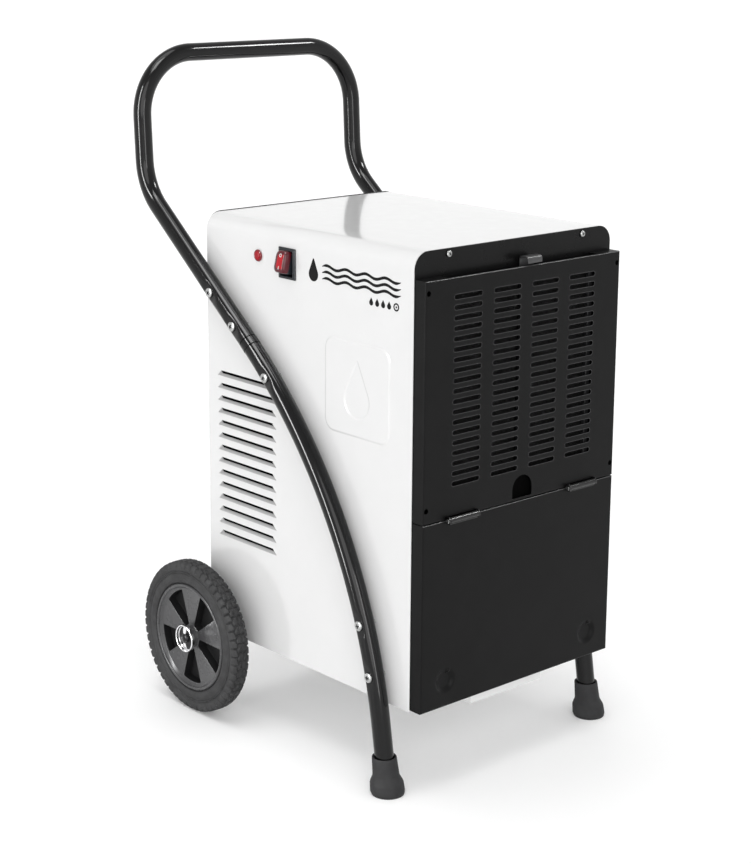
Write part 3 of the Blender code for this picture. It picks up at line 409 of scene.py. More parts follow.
# Each finish: the material's name, its colour, its range of roughness, and what else it has
FINISHES = {
    "white": ("white_powder_coat", (0.71, 0.71, 0.71), (0.11, 0.15),
              dict(tint=0.006, grain=1400, depth=1, wave=1.2, coat=(0.25, 0.05))),
    # Painted shade: the louvre lips are the same white coat, made darker for the shadow they sit in.
    "inner": ("shaded_powder_coat", (0.46, 0.46, 0.46), (0.30, 0.38),
              dict(tint=0.01, grain=1400, depth=3, wave=6)),
    "sheet": ("black_powder_coat", (0.0044, 0.0044, 0.0045), (0.34, 0.42),
              dict(tint=0.10, grain=1600, depth=4, wave=3, specular=0.105)),
    # Painted shade: a near-black matt for the dark opening of the arch notch.
    "painted_shade_black": ("matt_black_liner", (0.0010, 0.0010, 0.0010), (0.80, 0.90),
             dict(tint=0.20, grain=1600, depth=10, specular=0.02)),
    # Painted highlight: a lighter black for the slot edges, the top bends of the cover and door and
    # the pull tab, where light catches them.
    "edge": ("black_coat_on_edges", (0.042, 0.042, 0.043), (0.28, 0.36),
             dict(tint=0.15, patch=160, grain=1600, depth=4, specular=0.40)),
    "plate": ("black_front_plate", (0.0048, 0.0048, 0.0049), (0.26, 0.32),
              dict(tint=0.10, grain=1600, depth=3, wave=3, specular=0.12)),
    "hinge": ("black_hinge_enamel", (0.0048, 0.0048, 0.0049), (0.16, 0.22),
              dict(tint=0.10, depth=3, wave=4, specular=0.32, coat=(0.20, 0.10))),
    "tube": ("black_tube_enamel", (0.0050, 0.0050, 0.0052), (0.10, 0.15),
             dict(tint=0.10, grain=500, depth=2, wave=4, specular=0.16, coat=(0.18, 0.05))),
    "rubber": ("foot_rubber", (0.017, 0.017, 0.018), (0.62, 0.74),
               dict(tint=0.14, patch=70, grain=1500, depth=40, specular=0.30)),
    "tyre": ("tyre_rubber", (0.030, 0.030, 0.031), (0.60, 0.78),
             dict(tint=0.20, patch=90, grain=1300, depth=60, specular=0.28)),
    "rim": ("rim_plastic", (0.060, 0.060, 0.062), (0.24, 0.32),
            dict(tint=0.05, grain=1800, depth=6, specular=0.40)),
    # Painted shade: the rim plastic made near-black for the faces inside the pockets.
    "recess": ("rim_recess_plastic", (0.010, 0.010, 0.0105), (0.50, 0.60),
               dict(tint=0.10, grain=1500, specular=0.15)),
    "chrome": ("bright_chrome", (0.86, 0.86, 0.87), (0.05, 0.13),
               dict(metallic=1, tint=0.02, grain=500, depth=4, wave=10)),
    # Painted shade and dark reflection: dark steel for the screws' cross recesses and the push caps'
    # middles.
    "painted_shade_metal": ("oxide_steel", (0.030, 0.030, 0.031), (0.24, 0.36),
                 dict(metallic=1, tint=0.15, patch=220)),
    "zinc": ("zinc_plate", (0.40, 0.405, 0.40), (0.22, 0.36),
             dict(metallic=1, tint=0.20, patch=420, grain=1800, depth=10)),
    "dark": ("black_moulded_plastic", (0.012, 0.012, 0.013), (0.40, 0.52),
             dict(tint=0.12, grain=2600, specular=0.35)),
    "bezel": ("switch_plastic", (0.011, 0.014, 0.018), (0.30, 0.38),
              dict(tint=0.08, grain=3000, depth=10, specular=0.30)),
    "red": ("red_plastic", (0.32, 0.003, 0.011), (0.34, 0.44),
            dict(tint=0.06, patch=200, grain=2500, depth=5, specular=0.20)),
    "dark_red": ("dark_red_plastic", (0.19, 0.004, 0.010), (0.16, 0.24),
                 dict(tint=0.06, patch=200, grain=2500, depth=5)),
    "boot": ("red_silicone", (0.40, 0.003, 0.011), (0.16, 0.24),
             dict(tint=0.10, patch=180, depth=8, specular=0.25)),
    # Painted shade: the red silicone made darker for the boot's walls.
    "boot_wall_painted_shade": ("dark_red_silicone", (0.085, 0.006, 0.012), (0.12, 0.20),
                  dict(tint=0.12, patch=180, depth=8, specular=0.35)),
    "print": ("black_print", (0.004, 0.004, 0.004), (0.45, 0.55),
              dict(tint=0.10, grain=2400, depth=3, specular=0.10)),
    "mark": ("white_print", (0.62, 0.62, 0.62), (0.30, 0.40), dict(tint=0.02, grain=2400, depth=3)),
    "copper": ("drawn_copper", (0.74, 0.35, 0.20), (0.22, 0.38),
               dict(metallic=1, tint=0.10, patch=120, depth=10)),
    "fins": ("fin_aluminium", (0.76, 0.77, 0.78), (0.30, 0.44),
             dict(metallic=1, tint=0.05, patch=160, grain=1500, stretch=(1, 1, 0.15))),
    "galvanised": ("galvanised_sheet", (0.56, 0.58, 0.59), (0.28, 0.46),
                   dict(metallic=1, tint=0.12, patch=220, rough_patch=140, grain=1200, depth=10)),
    "enamel": ("compressor_enamel", (0.014, 0.014, 0.015), (0.24, 0.34),
               dict(tint=0.10, grain=600, wave=30)),
    "tank": ("tank_plastic", (0.62, 0.68, 0.71), (0.28, 0.38),
             dict(tint=0.03, grain=1200, wave=30, transmission=0.55, ior=1.49)),
    "mesh": ("filter_wire", (0.008, 0.008, 0.0082), (0.60, 0.75),
             dict(tint=0.15, patch=300, grain=3000, depth=30, specular=0.12)),
}
MATERIALS = {finish: finish_material(*basics, **extras)
             for finish, (*basics, extras) in FINISHES.items()}


# Cabinet

def square_distance(u, v):
    """Signed distance to the pressed rounded square, negative inside."""
    du, dv = abs(u) - SQUARE_HALF + SQUARE_R, abs(v) - SQUARE_HALF + SQUARE_R
    return hypot(max(du, 0), max(dv, 0)) + min(max(du, dv), 0) - SQUARE_R


def droplet_distance(u, v, bulb=0.0235, tip=0.0015, height=0.050):
    """Signed distance to a water drop whose round end is at the origin and whose tip points up."""
    u = abs(u)
    slant = (bulb - tip) / height
    rise = sqrt(1 - slant * slant)
    along = -slant * u + rise * v
    if along < 0:
        return hypot(u, v) - bulb
    if along > rise * height:
        return hypot(u, v - height) - tip
    return rise * u + slant * v - bulb


def relief(y, z):
    """How far the pressed square stands out of the side, less the drop that is sunk in it."""
    u, v = y - SQUARE[0], z - SQUARE[1]
    raised = SQUARE_H * smooth(0.5 - square_distance(u, v) / 0.0026)
    return raised - 0.0011 * smooth(0.5 - droplet_distance(u, v + 0.014) / 0.0026)


def louvre_places():
    return [LOUVRE_BOTTOM + row * LOUVRE_PITCH for row in range(LOUVRES)]


def casing():
    """One sheet over the top and both sides, with the pressed square on the switch side."""
    front, rear, low = PLATE + GAP, REAR - PLATE - GAP, CASE_BOTTOM
    near, far = SQUARE_HALF + 0.004, 0.0009
    ys = spread((front, 0.02), (SQUARE[0] - near, far), (SQUARE[0] + near, 0.02), (rear, 1))
    side_z = spread((low, 0.03), (SQUARE[1] - near, far), (SQUARE[1] + near, 0.03),
                    (TOP - CORNER_R, 1))
    profile = [(-HALF_W, z) for z in side_z[:-1]]
    profile += arc_points((-HALF_W + CORNER_R, TOP - CORNER_R), CORNER_R, 180, 90, 10)
    profile += [(x, TOP) for x in spread((-HALF_W + CORNER_R, 0.03), (HALF_W - CORNER_R, 1))[1:-1]]
    profile += arc_points((HALF_W - CORNER_R, TOP - CORNER_R), CORNER_R, 90, 0, 10)
    profile += [(HALF_W, z) for z in spread((TOP - CORNER_R, 0.03), (low, 1))[1:]]
    bm = bmesh.new()
    rows = [[(x - (relief(y, z) if x == -HALF_W else 0), y, z) for x, z in profile] for y in ys]
    grid_mesh(bm, rows)
    shell = add_piece("casing", bm, "white", ["casing_shell"])
    thicken(shell, SHEET)
    slots = bmesh.new()
    for z in louvre_places():
        outline = [(LOUVRE_Y[0], z - LOUVRE_H / 2), (LOUVRE_Y[1], z - LOUVRE_H / 2),
                   (LOUVRE_Y[1] - LOUVRE_SLANT, z + LOUVRE_H / 2),
                   (LOUVRE_Y[0] + LOUVRE_SLANT, z + LOUVRE_H / 2)]
        for side in (-1, 1):
            add_prism(slots, outline, 0, side * (HALF_W - 0.006), side * (HALF_W + 0.006))
    holes = bmesh.new()
    half_y, half_z = SWITCH_HOLE
    add_box(holes, (-HALF_W - 0.01, SWITCH_Y - half_y, SWITCH_Z - half_z),
            (-HALF_W + 0.01, SWITCH_Y + half_y, SWITCH_Z + half_z))
    x_rod(holes, -0.19, -0.16, LAMP_Y, LAMP_Z, LAMP_HOLE_R, 24)
    x_rod(holes, -0.20, 0.20, WHEEL.y - FRONT, WHEEL.z, AXLE_HOLE_R)
    cut(shell, slots, holes)


def louvre_lips(side, name):
    """The strips under the louvres, pushed inwards, with slanted ends; their grey is painted shade."""
    bm = bmesh.new()
    for z in louvre_places():
        low, top = z - LOUVRE_H / 2, z + LOUVRE_H / 2
        face, deep = side * (HALF_W - 0.0001), side * (HALF_W - LOUVRE_DEPTH)
        rows = []
        for y, lean in ((LOUVRE_Y[0], LOUVRE_SLANT), (LOUVRE_Y[1], -LOUVRE_SLANT)):
            rows.append([(face, y, low), (deep, y + lean * 0.8, low + LOUVRE_LIP),
                         (face, y + lean, top)])
        first, second = [[bm.verts.new(point) for point in row] for row in rows]
        bm.faces.new((first[0], second[0], second[1], first[1]))
        bm.faces.new((first[0], first[1], first[2]))
        bm.faces.new((second[0], second[2], second[1]))
    lips = add_piece(f"louvre_lips_{name}", bm, "inner")
    thicken(lips, 0.0008, side)
    apply_modifiers(lips)


def end_plate(bm, half, low, top, y0, y1):
    """A plate over the cabinet's front or back, its two top corners rounded like the casing."""
    outline = arc_points((half - CORNER_R, top - CORNER_R), CORNER_R, 0, 90, 12)
    outline += arc_points((-half + CORNER_R, top - CORNER_R), CORNER_R, 90, 180, 12)
    add_prism(bm, [(half, low), *outline, (-half, low)], 1, y0, y1)


def front_plate():
    bm = bmesh.new()
    end_plate(bm, HALF_W, BOTTOM, TOP, 0, PLATE)
    plate = add_piece("front_plate_sheet", bm, "plate", ["front_plate"])
    windows = bmesh.new()
    for half, low, high in ((0.135, 0.380, 0.645), (0.155, 0.1165, 0.330)):
        outline = rounded_rectangle(half, (high - low) / 2, 0.004, 4, (0, (low + high) / 2))
        add_prism(windows, outline, 1, -0.01, 0.01)
    cut(plate, windows)
    soften(plate, 0.0004)


def rear_panel():
    """Flat back with a shallow stiffening bead and a hole for the cable gland."""
    bm = bmesh.new()
    end_plate(bm, HALF_W - 0.0022, CASE_BOTTOM, TOP + 0.0008, REAR - PLATE, REAR)
    panel = add_piece("rear_panel_sheet", bm, "sheet", ["rear_panel"])
    hole = bmesh.new()
    inlet = middle_of("power_inlet")
    add_prism(hole, rounded_rectangle(0.0085, 0.0085, 0.0084, 6, (inlet.x, inlet.z)), 1,
              REAR - 0.01, REAR + 0.01)
    bead = bmesh.new()
    centre = (0, (TOP + BOTTOM) / 2 + 0.030)
    wide, tall = HALF_W - 0.030, (TOP - BOTTOM) / 2 - 0.060
    add_band(bead, rounded_rectangle(wide - 0.006, tall - 0.006, 0.015, 8, centre),
             rounded_rectangle(wide, tall, 0.020, 8, centre), 1, REAR - 0.0007, REAR + 0.002)
    cut(panel, hole, bead)
    soften(panel, 0.0004)


def pan(xs, zs, y_front, y_rear, height=None):
    """A shallow pan: its front face is the grid of lines, its edges bend back to y_rear."""
    bm = bmesh.new()
    rows = [[(x, y_front + (height(x, z) if height else 0), z) for x in xs] for z in zs]
    verts = grid_mesh(bm, rows)
    top, right = len(zs) - 1, len(xs) - 1
    walk = ([(0, j) for j in range(right)] + [(i, right) for i in range(top)]
            + [(top, j) for j in range(right, 0, -1)] + [(i, 0) for i in range(top, 0, -1)])
    edge = [verts[i][j] for i, j in walk]
    bend = arc_points((0, y_front + BEND), BEND, -67.5, 0, 3)
    for out, y in bend + [(BEND, y_rear)]:
        ring = [bm.verts.new((xs[j] + ((j == right) - (j == 0)) * out, y,
                              zs[i] + ((i == top) - (i == 0)) * out)) for i, j in walk]
        for index in range(len(edge)):
            after = (index + 1) % len(edge)
            bm.faces.new((edge[index], edge[after], ring[after], ring[index]))
        edge = ring
    return bm


def framed_lines(low, high, *stops):
    """Grid lines of a pan's face: its bend radius is left free and a line lies close to each edge."""
    return spread((low + BEND, 1), (low + BEND + 0.001, 0.05), *stops, (high - BEND - 0.001, 1),
                  (high - BEND, 1))


def grille_slots(grow=0.0):
    """Outlines of the grille's slots, each wider all round by grow."""
    length, height = GRILLE_SLOT
    return [stadium(x, GRILLE_TOP - row * GRILLE_PITCH, length + 2 * grow, height + 2 * grow)
            for x in GRILLE_COLUMNS for row in range(GRILLE_ROWS)]


def arch(radius, low):
    """Outline of the notch between the hinges."""
    return [(radius, low)] + arc_points((0, ARCH_Z), radius, 0, 180, 16) + [(-radius, low)]


def grille_slot_highlights():
    """The raised burr round each punched slot, in the lighter material as a painted highlight on the
    slot edges.
    """
    bm = bmesh.new()
    for inner, outer in zip(grille_slots(), grille_slots(0.0005)):
        add_band(bm, inner, outer, 1, -COVER_D - 0.00015, -COVER_D + 0.0004)
    add_piece("grille_slot_painted_highlights", bm, "edge")


def grille_cover():
    half = HALF_W - 0.0005
    low, high = SPLIT_Z + 0.0005, COVER_TOP
    cover = add_piece("grille_cover_sheet",
                      pan(framed_lines(-half, half), framed_lines(low, high), -COVER_D, -GAP),
                      "sheet", ["grille_cover"])
    thicken(cover, SHEET)
    slots = bmesh.new()
    holes = [stadium(side * HOLE_X, z, 0.00701, 0.0070) for side in (-1, 1) for z in HOLE_ZS]
    for outline in grille_slots() + holes + [arch(ARCH_R, 0.3672)]:
        add_prism(slots, outline, 1, -0.03, -0.012)
    notches = bmesh.new()
    reach = KNUCKLE_L / 2 + 0.0045
    for side in (-1, 1):
        add_box(notches, (side * HINGE_X - reach, -0.03, SPLIT_Z - 0.002),
                (side * HINGE_X + reach, -0.0165, SPLIT_Z + 0.0042))
    opening = bmesh.new()
    add_prism(opening, rounded_rectangle(0.134, 0.010, 0.003, 4, (0, -0.0050)), 2, high - 0.005,
              high + 0.005)
    cut(cover, slots, notches, opening)
    soften(cover, 0.0003, 50)
    paint_top_bend_highlight(cover, high)
    grille_slot_highlights()
    # A matt black sheet behind the arch notch: painted shade in the opening.
    shade_sheet = bmesh.new()
    add_prism(shade_sheet, arch(ARCH_R + 0.0027, 0.3655), 1, -0.0136, -0.0127)
    add_piece("arch_painted_shade", shade_sheet, "painted_shade_black")
    lugs = bmesh.new()
    for side in (-1, 1):
        for end in (-1, 1):
            x = side * HINGE_X + end * (KNUCKLE_L / 2 + 0.0015)
            x_rod(lugs, x - 0.001, x + 0.001, HINGE_Y, SPLIT_Z, HINGE_R)
            add_box(lugs, (x - 0.001, HINGE_Y - 0.0015, SPLIT_Z + 0.0010),
                    (x + 0.001, -COVER_D + 0.0010, SPLIT_Z + 0.0052))
    add_piece("hinge_lugs", lugs, "hinge")


def dish(x, z):
    """Depth of the two round dishes in the door, each with a small nub."""
    depth = 0.0
    for side in (-1, 1):
        u, v = x - side * DISH_X, z - DISH_Z
        depth += DISH_DEPTH * smooth((DISH_R - hypot(u, v)) / 0.0085)
        depth -= 0.0030 * smooth((0.0036 - hypot(u - 0.0050, v - 0.0120)) / 0.0026)
    return depth


def tank_door():
    half = HALF_W - 0.0005
    low, high = DOOR_BOTTOM, SPLIT_Z - 0.0007
    fine, reach = 0.0009, DISH_R + 0.002
    xs = framed_lines(-half, half, (-DISH_X - reach, fine), (-DISH_X + reach, 0.05),
                      (DISH_X - reach, fine), (DISH_X + reach, 0.05))
    zs = framed_lines(low, high, (DISH_Z - reach, fine), (DISH_Z + reach, 0.05))
    door = add_piece("tank_door_sheet", pan(xs, zs, -COVER_D, -GAP, dish), "sheet",
                     ["tank_door"], "door")
    thicken(door, SHEET)
    apply_modifiers(door)
    paint_top_bend_highlight(door, high)
    barrels = bmesh.new()
    for side in (-1, 1):
        start, end = side * HINGE_X - KNUCKLE_L / 2, side * HINGE_X + KNUCKLE_L / 2
        x_rod(barrels, start, end, HINGE_Y, SPLIT_Z, HINGE_R)
        add_box(barrels, (start, HINGE_Y - 0.0012, SPLIT_Z - 0.0052),
                (end, -COVER_D + 0.0006, SPLIT_Z - 0.0026))
    add_piece("hinge_barrels", barrels, "hinge", body="door")


def pictogram():
    """Generic marks in place of lettering: a drop and waves of air, and a row of small signs."""
    bm = bmesh.new()
    ink, under = -HALF_W - 0.00015, -HALF_W + 0.0002
    start, middle = 0.1900, 0.6537
    drop = arc_points((start, middle + 0.0150), 0.0012, 20, 160, 2)
    drop += arc_points((start, middle - 0.0045), 0.0092, 158, 382, 24)
    add_prism(bm, drop, 0, ink, under)
    for row in range(3):
        upper, lower = [], []
        for step in range(61):
            share = step / 60
            y = start - 0.0170 - share * 0.1480
            z = middle + 0.0082 - row * 0.0082 + 0.0020 * sin(2 * pi * 4 * share)
            width = 0.0019 * min(1, 14 * share + 0.25, 14 * (1 - share) + 0.25)
            upper.append((y, z + width))
            lower.append((y, z - width))
        add_prism(bm, upper + lower[::-1], 0, ink, under)
    dot = (0.0330, middle - 0.0232)
    add_band(bm, arc_points(dot, 0.0032, 0, 345, 23), arc_points(dot, 0.0052, 0, 345, 23), 0, ink,
             under)
    add_prism(bm, arc_points(dot, 0.0014, 0, 330, 11), 0, ink, under)
    for index in range(4):
        y = 0.0460 + index * 0.0110
        tear = [(y, dot[1] + 0.0054)] + arc_points((y, dot[1] - 0.0012), 0.0036, 152, 388, 16)
        add_prism(bm, tear, 0, ink, under)
    add_piece("pictogram", bm, "print")


# Air filter and coils

def filter_cassette():
    """Frame with two windows, the bent tab that pulls it, and the wires of its mesh."""
    middle = 0.5210
    bm = bmesh.new()
    add_prism(bm, rounded_rectangle(0.130, 0.1450, 0.004, 4, (0, middle)), 1, -0.0120, -0.0040)
    item = add_piece("filter_frame_moulding", bm, "dark", ["filter_frame"], "filter")
    windows = bmesh.new()
    for side in (-1, 1):
        add_prism(windows, rounded_rectangle(0.0595, 0.1370, 0.003, 4, (side * 0.0625, middle)), 1,
                  -0.02, 0)
    cut(item, windows)
    soften(item, 0.0006)

    path = rounded([(-0.0052, 0.6560), (-0.0052, 0.6801), (-0.0198, 0.6801), (-0.0198, 0.6717)],
                   0.0045, 6)
    rings = []
    for index, point in enumerate(path):
        ahead = path[min(index + 1, len(path) - 1)] - path[max(index - 1, 0)]
        normal = Vector((-ahead.y, ahead.x)).normalized() * 0.00065
        rings.append([(-0.0008, *(point + normal)), (0.0248, *(point + normal)),
                      (0.0248, *(point - normal)), (-0.0008, *(point - normal))])
    tab_mesh = bmesh.new()
    loft(tab_mesh, rings)
    # The tab takes the lighter black: painted highlight on the tab.
    tab = add_piece("pull_tab", tab_mesh, "edge", body="filter")
    soften(tab, 0.0003, angle=50)

    wires = bmesh.new()
    pitch, wire = 0.0016, 0.00022
    for index in range(round(0.242 / pitch)):
        x = -0.121 + index * pitch
        add_box(wires, (x - wire, -0.0080, 0.3843), (x + wire, -0.0080 + 2 * wire, 0.6577))
    for index in range(round(0.272 / pitch)):
        z = 0.385 + index * pitch
        add_box(wires, (-0.1217, -0.0080 + 2 * wire, z - wire),
                (0.1217, -0.0080 + 4 * wire, z + wire))
    add_piece("filter_mesh_wires", wires, "mesh", ["filter_mesh"], "filter")


def tube_rings(points, radius, sides):
    """Rings of points round a path, with a frame that doesn't twist."""
    points = [Vector(point) for point in points]
    ahead = (points[1] - points[0]).normalized()
    across = ahead.orthogonal().normalized()
    rings = []
    for index, point in enumerate(points):
        step = points[min(index + 1, len(points) - 1)] - points[max(index - 1, 0)]
        turn = ahead.rotation_difference(step.normalized())
        across = (turn @ across).normalized()
        ahead = step.normalized()
        other = ahead.cross(across)
        rings.append([point + radius * (cos(angle) * across + sin(angle) * other)
                      for angle in (2 * pi * side / sides for side in range(sides))])
    return rings


def coil(name, y0, y1, z0, z1):
    """A pack of thin fins between two end plates, threaded by copper hairpins."""
    fins = bmesh.new()
    half, pitch = 0.1368, 0.0024
    for index in range(round(2 * half / pitch) + 1):
        x = -half + index * pitch
        add_box(fins, (x - 0.00012, y0, z0), (x + 0.00012, y1, z1))
    for side in (-1, 1):
        x = side * (half + 0.0004)
        add_box(fins, (x - 0.0005, y0, z0), (x + 0.0005, y1, z1))
    add_piece(f"{name}_fins", fins, "fins", [name])
    pipes = bmesh.new()
    middle, rows = (y0 + y1) / 2, 4
    step = (z1 - z0) / rows
    for row in range(rows):
        z = z0 + step * (row + 0.25)
        path = rounded([(-0.139, middle, z), (0.1475, middle, z), (0.1475, middle, z + step / 2),
                        (-0.139, middle, z + step / 2)], 0.010, 6)
        loft(pipes, tube_rings(path, 0.0035, 12))
    add_piece(f"{name}_hairpins", pipes, "copper")


# Water side

def water_tank():
    low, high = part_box("water_tank")
    half, y0, y1, z0, z1 = high.x, low.y - FRONT, high.y - FRONT, low.z, high.z
    middle, deep = (y0 + y1) / 2, (y1 - y0) / 2
    wall = 0.0025

    def ring(inset, z, radius):
        return flat_ring(rounded_rectangle(half - inset, deep - inset, radius, 6, (0, middle)), 2, z)

    bm = bmesh.new()
    loft(bm, [ring(0.0070, z0, 0.008), ring(0.0046, z0 + 0.0010, 0.010),
              ring(0.0036, z0 + 0.0036, 0.012), ring(0.0016, z1 - 0.0075, 0.012),
              ring(0, z1 - 0.0065, 0.013), ring(0, z1 - 0.0008, 0.013), ring(0.0008, z1, 0.012),
              ring(wall - 0.0006, z1, 0.011), ring(wall, z1 - 0.0008, 0.010),
              ring(wall + 0.0016, z1 - 0.0075, 0.010), ring(wall + 0.0036, z0 + 0.0066, 0.009),
              ring(wall + 0.0052, z0 + 0.0030, 0.006)])
    tank = add_piece("water_tank_moulding", bm, "tank", ["water_tank"], "tank")
    grip = bmesh.new()
    add_prism(grip, stadium(0, 0.280, 0.090, 0.020), 1, -0.02, 0.012)
    cut(tank, grip)


def tank_float():
    x, y, z = FLOAT_PIVOT
    bm = bmesh.new()
    x_rod(bm, x - 0.012, x + 0.012, y, z, 0.003, 24)
    add_box(bm, (x - 0.004, y - 0.040, z - 0.0015), (x + 0.004, y - 0.001, z + 0.0015))
    add_prism(bm, rounded_rectangle(0.0200, 0.0210, 0.004, 5, (x, y - 0.057)), 2, z - 0.018,
              z + 0.006)
    item = add_piece("float_arm", bm, "dark", ["tank_float"], "float")
    soften(item, 0.0008)


# Controls

def switch_bezel():
    """Stepped frame round the rocker, with the switch's body behind the sheet."""
    side = -HALF_W

    def ring(half_y, half_z, x, radius):
        return flat_ring(rounded_rectangle(half_y, half_z, radius, 3, (SWITCH_Y, SWITCH_Z)), 0,
                         side + x)

    bm = bmesh.new()
    sizes = mm((14.5, 18, 21.5, 1), (14.5, 18, -0.2, 1), (16.8, 20.1, -0.2, 1.2),
               (17.2, 20.5, -0.6, 1.4), (17.2, 20.5, -1.3, 1.4), (16.6, 19.9, -1.7, 1.2),
               (15.2, 18.6, -1.8, 1.2), (14.8, 18.2, -2.7, 1.2), (14.2, 17.7, -3, 1.2),
               (13.2, 17.1, -3, 1.2), (12.9, 16.8, -2.6, 1), (12.9, 16.8, 18, 1))
    loft(bm, [ring(*size) for size in sizes])
    add_piece("switch_bezel_moulding", bm, "bezel", ["switch_bezel"], sharp=40)


def tilted(item, pivot):
    """Turns a piece made upright about the rocker's pivot to the position in which it is drawn."""
    turn = (Matrix.Translation(pivot) @ Matrix.Rotation(SWITCH_TILT, 4, "Y")
            @ Matrix.Translation(-pivot))
    item.data.transform(turn)


def rocker_switch():
    side = -HALF_W
    pivot = Vector((side + 0.003, SWITCH_Y, SWITCH_Z))

    def ring(half_y, half_z, x, radius, dip=0.0, y_mid=SWITCH_Y):
        return [(side + x + dip * (1 - ((z - SWITCH_Z) / half_z) ** 2), y, z)
                for y, z in rounded_rectangle(half_y, half_z, radius, 4, (y_mid, SWITCH_Z))]

    cap = bmesh.new()
    loft(cap, [ring(0.0084, 0.0126, 0.0040, 0.001), ring(0.0084, 0.0126, -0.0118, 0.0015, 0.0010),
               ring(0.0080, 0.0122, -0.0124, 0.0015, 0.0012),
               ring(0.0072, 0.0114, -0.0128, 0.0012, 0.0012)])
    tilted(add_piece("power_rocker_cap", cap, "red", ["power_rocker"], "rocker", sharp=40),
           pivot)

    marks = bmesh.new()
    face = side - 0.0151
    lit_y = SWITCH_Y - 0.0014    # middle of the lit patch on the boot's face
    place = placed((face, lit_y, SWITCH_Z + 0.0079), -90, "Y")
    add_turned(marks, [(0.0014, 0), (0.0024, 0), (0.0024, 0.0004), (0.0014, 0.0004)], 24, True, place)
    add_box(marks, (face - 0.0004, lit_y - 0.0006, SWITCH_Z - 0.0104),
            (face, lit_y + 0.0006, SWITCH_Z - 0.0062))
    tilted(add_piece("rocker_marks", marks, "mark", body="rocker"), pivot)

    boot = bmesh.new()
    shape = [ring(0.0102, 0.0147, 0.0042, 0.0040), ring(0.0102, 0.0147, -0.0052, 0.0045),
             ring(0.0102, 0.0147, -0.0100, 0.0050),
             ring(0.0099, 0.0144, -0.0122, 0.0056), ring(0.0091, 0.0136, -0.0139, 0.0060),
             ring(0.0078, 0.0123, -0.0149, 0.0056), ring(0.0054, 0.0096, -0.0152, 0.0040, y_mid=lit_y),
             ring(0.0030, 0.0075, -0.0153, 0.0025, y_mid=lit_y)]
    loft(boot, shape, cap_first=False)
    item = add_piece("switch_boot_skin", boot, "boot", ["switch_boot"], "rocker", sharp=60)
    thicken(item, 0.0005)
    apply_modifiers(item, 60)
    # Painted shade: the boot's walls take the dark red, and only the lit patch in the middle of its
    # face keeps the bright red. The faces by its base take the bezel plastic, which stands in for the
    # bezel's dark inner lip and is partly painted shade.
    item.data.materials.append(MATERIALS["boot_wall_painted_shade"])
    item.data.materials.append(MATERIALS["bezel"])
    for face in item.data.polygons:
        middle = face.center
        in_lit_patch = abs(middle.y - lit_y) < 0.0058 and abs(middle.z - SWITCH_Z) < 0.0100
        shaded_skirt = middle.x > side - 0.0054
        face.material_index = 2 if shaded_skirt else 0 if in_lit_patch and middle.x < side - 0.0100 else 1
    tilted(item, pivot)


def indicator_lamp():
    place = placed((-HALF_W, LAMP_Y, LAMP_Z), -90, "Y")
    ring = bmesh.new()
    add_turned(ring, rounded(mm((4.1, -15), (4.1, 0.3), (8, 0.3), (7.9, 1.8), (6.6, 2.8),
                                (5.8, 2.4), (3, 1), (3, -15)), 0.0005, 3, True), 48, True, place)
    add_piece("lamp_ring", ring, "dark_red", ["indicator_lamp"])
    lens = bmesh.new()
    dome = [(0.0058 * sin(radians(turn)), 0.0020 + 0.0024 * cos(radians(turn)))
            for turn in range(0, 91, 10)]
    add_turned(lens, dome + [(0.0058, 0.0012), (0, 0.0012)], 48, matrix=place)
    add_piece("lamp_lens", lens, "red")


def power_inlet():
    """Cable gland in the back: a ribbed nut on a flange."""
    middle = middle_of("power_inlet")
    place = placed((middle.x, REAR, middle.z), -90, "X")
    bm = bmesh.new()
    profile = rounded(mm((8, -12), (8, 0.3), (12.4, 0.3), (12.4, 5), (10.4, 6.2), (10, 17),
                         (7.8, 21.5), (5.2, 21.8), (5, -12)), 0.0008, 3, True)
    add_turned(bm, profile, 60, True, place)
    for index in range(10):
        add_box(bm, (0.0092, -0.0007, 0.0066), (0.0110, 0.0007, 0.0164),
                place @ placed((0, 0, 0), 36 * index))
    add_piece("cable_gland", bm, "dark", ["power_inlet"])


# Tube frame

def handle_point(distance):
    return JOINT[0] + distance * sin(SLOPE), JOINT[1] + distance * cos(SLOPE)


def leg_point(distance):
    angle = SLOPE - distance / LEG_R
    return (JOINT[0] - LEG_R * (cos(angle) - cos(SLOPE)),
            JOINT[1] - LEG_R * (sin(SLOPE) - sin(angle)))


def toe_point(z):
    y_end, z_end = leg_point((SLOPE - LEG_END) * LEG_R)
    return y_end - (z_end - z) * tan(LEG_END), z


def screw_places():
    """(Y, Z, slope from vertical) of each tube screw, the handle's first."""
    places = [(*handle_point(distance), SLOPE) for distance in HANDLE_SCREWS]
    return places + [(*leg_point(distance), SLOPE - distance / LEG_R) for distance in LEG_SCREWS]


def flatten_at_screws(rings, places):
    """Presses a smooth flat into the outer side of the tube at each screw."""
    for ring in rings:
        for point in ring:
            side = 1 if point.x > 0 else -1
            out = side * point.x - TUBE_X
            if out <= 0:
                continue
            for y, z, slope in places:
                along = (point.y - y) * sin(slope) + (point.z - z) * cos(slope)
                if abs(along) > FLAT_HALF or hypot(point.y - y, point.z - z) > 0.04:
                    continue
                share = cos(pi / 2 * along / FLAT_HALF)
                limit = TUBE_R - FLAT_DEPTH * share * min(1.0, 1.4 * share)
                over = out - limit
                if over > -0.0006:
                    out = limit - 0.0006 + 0.0006 * tanh((over + 0.0006) / 0.0012)
            point.x = side * (TUBE_X + out)


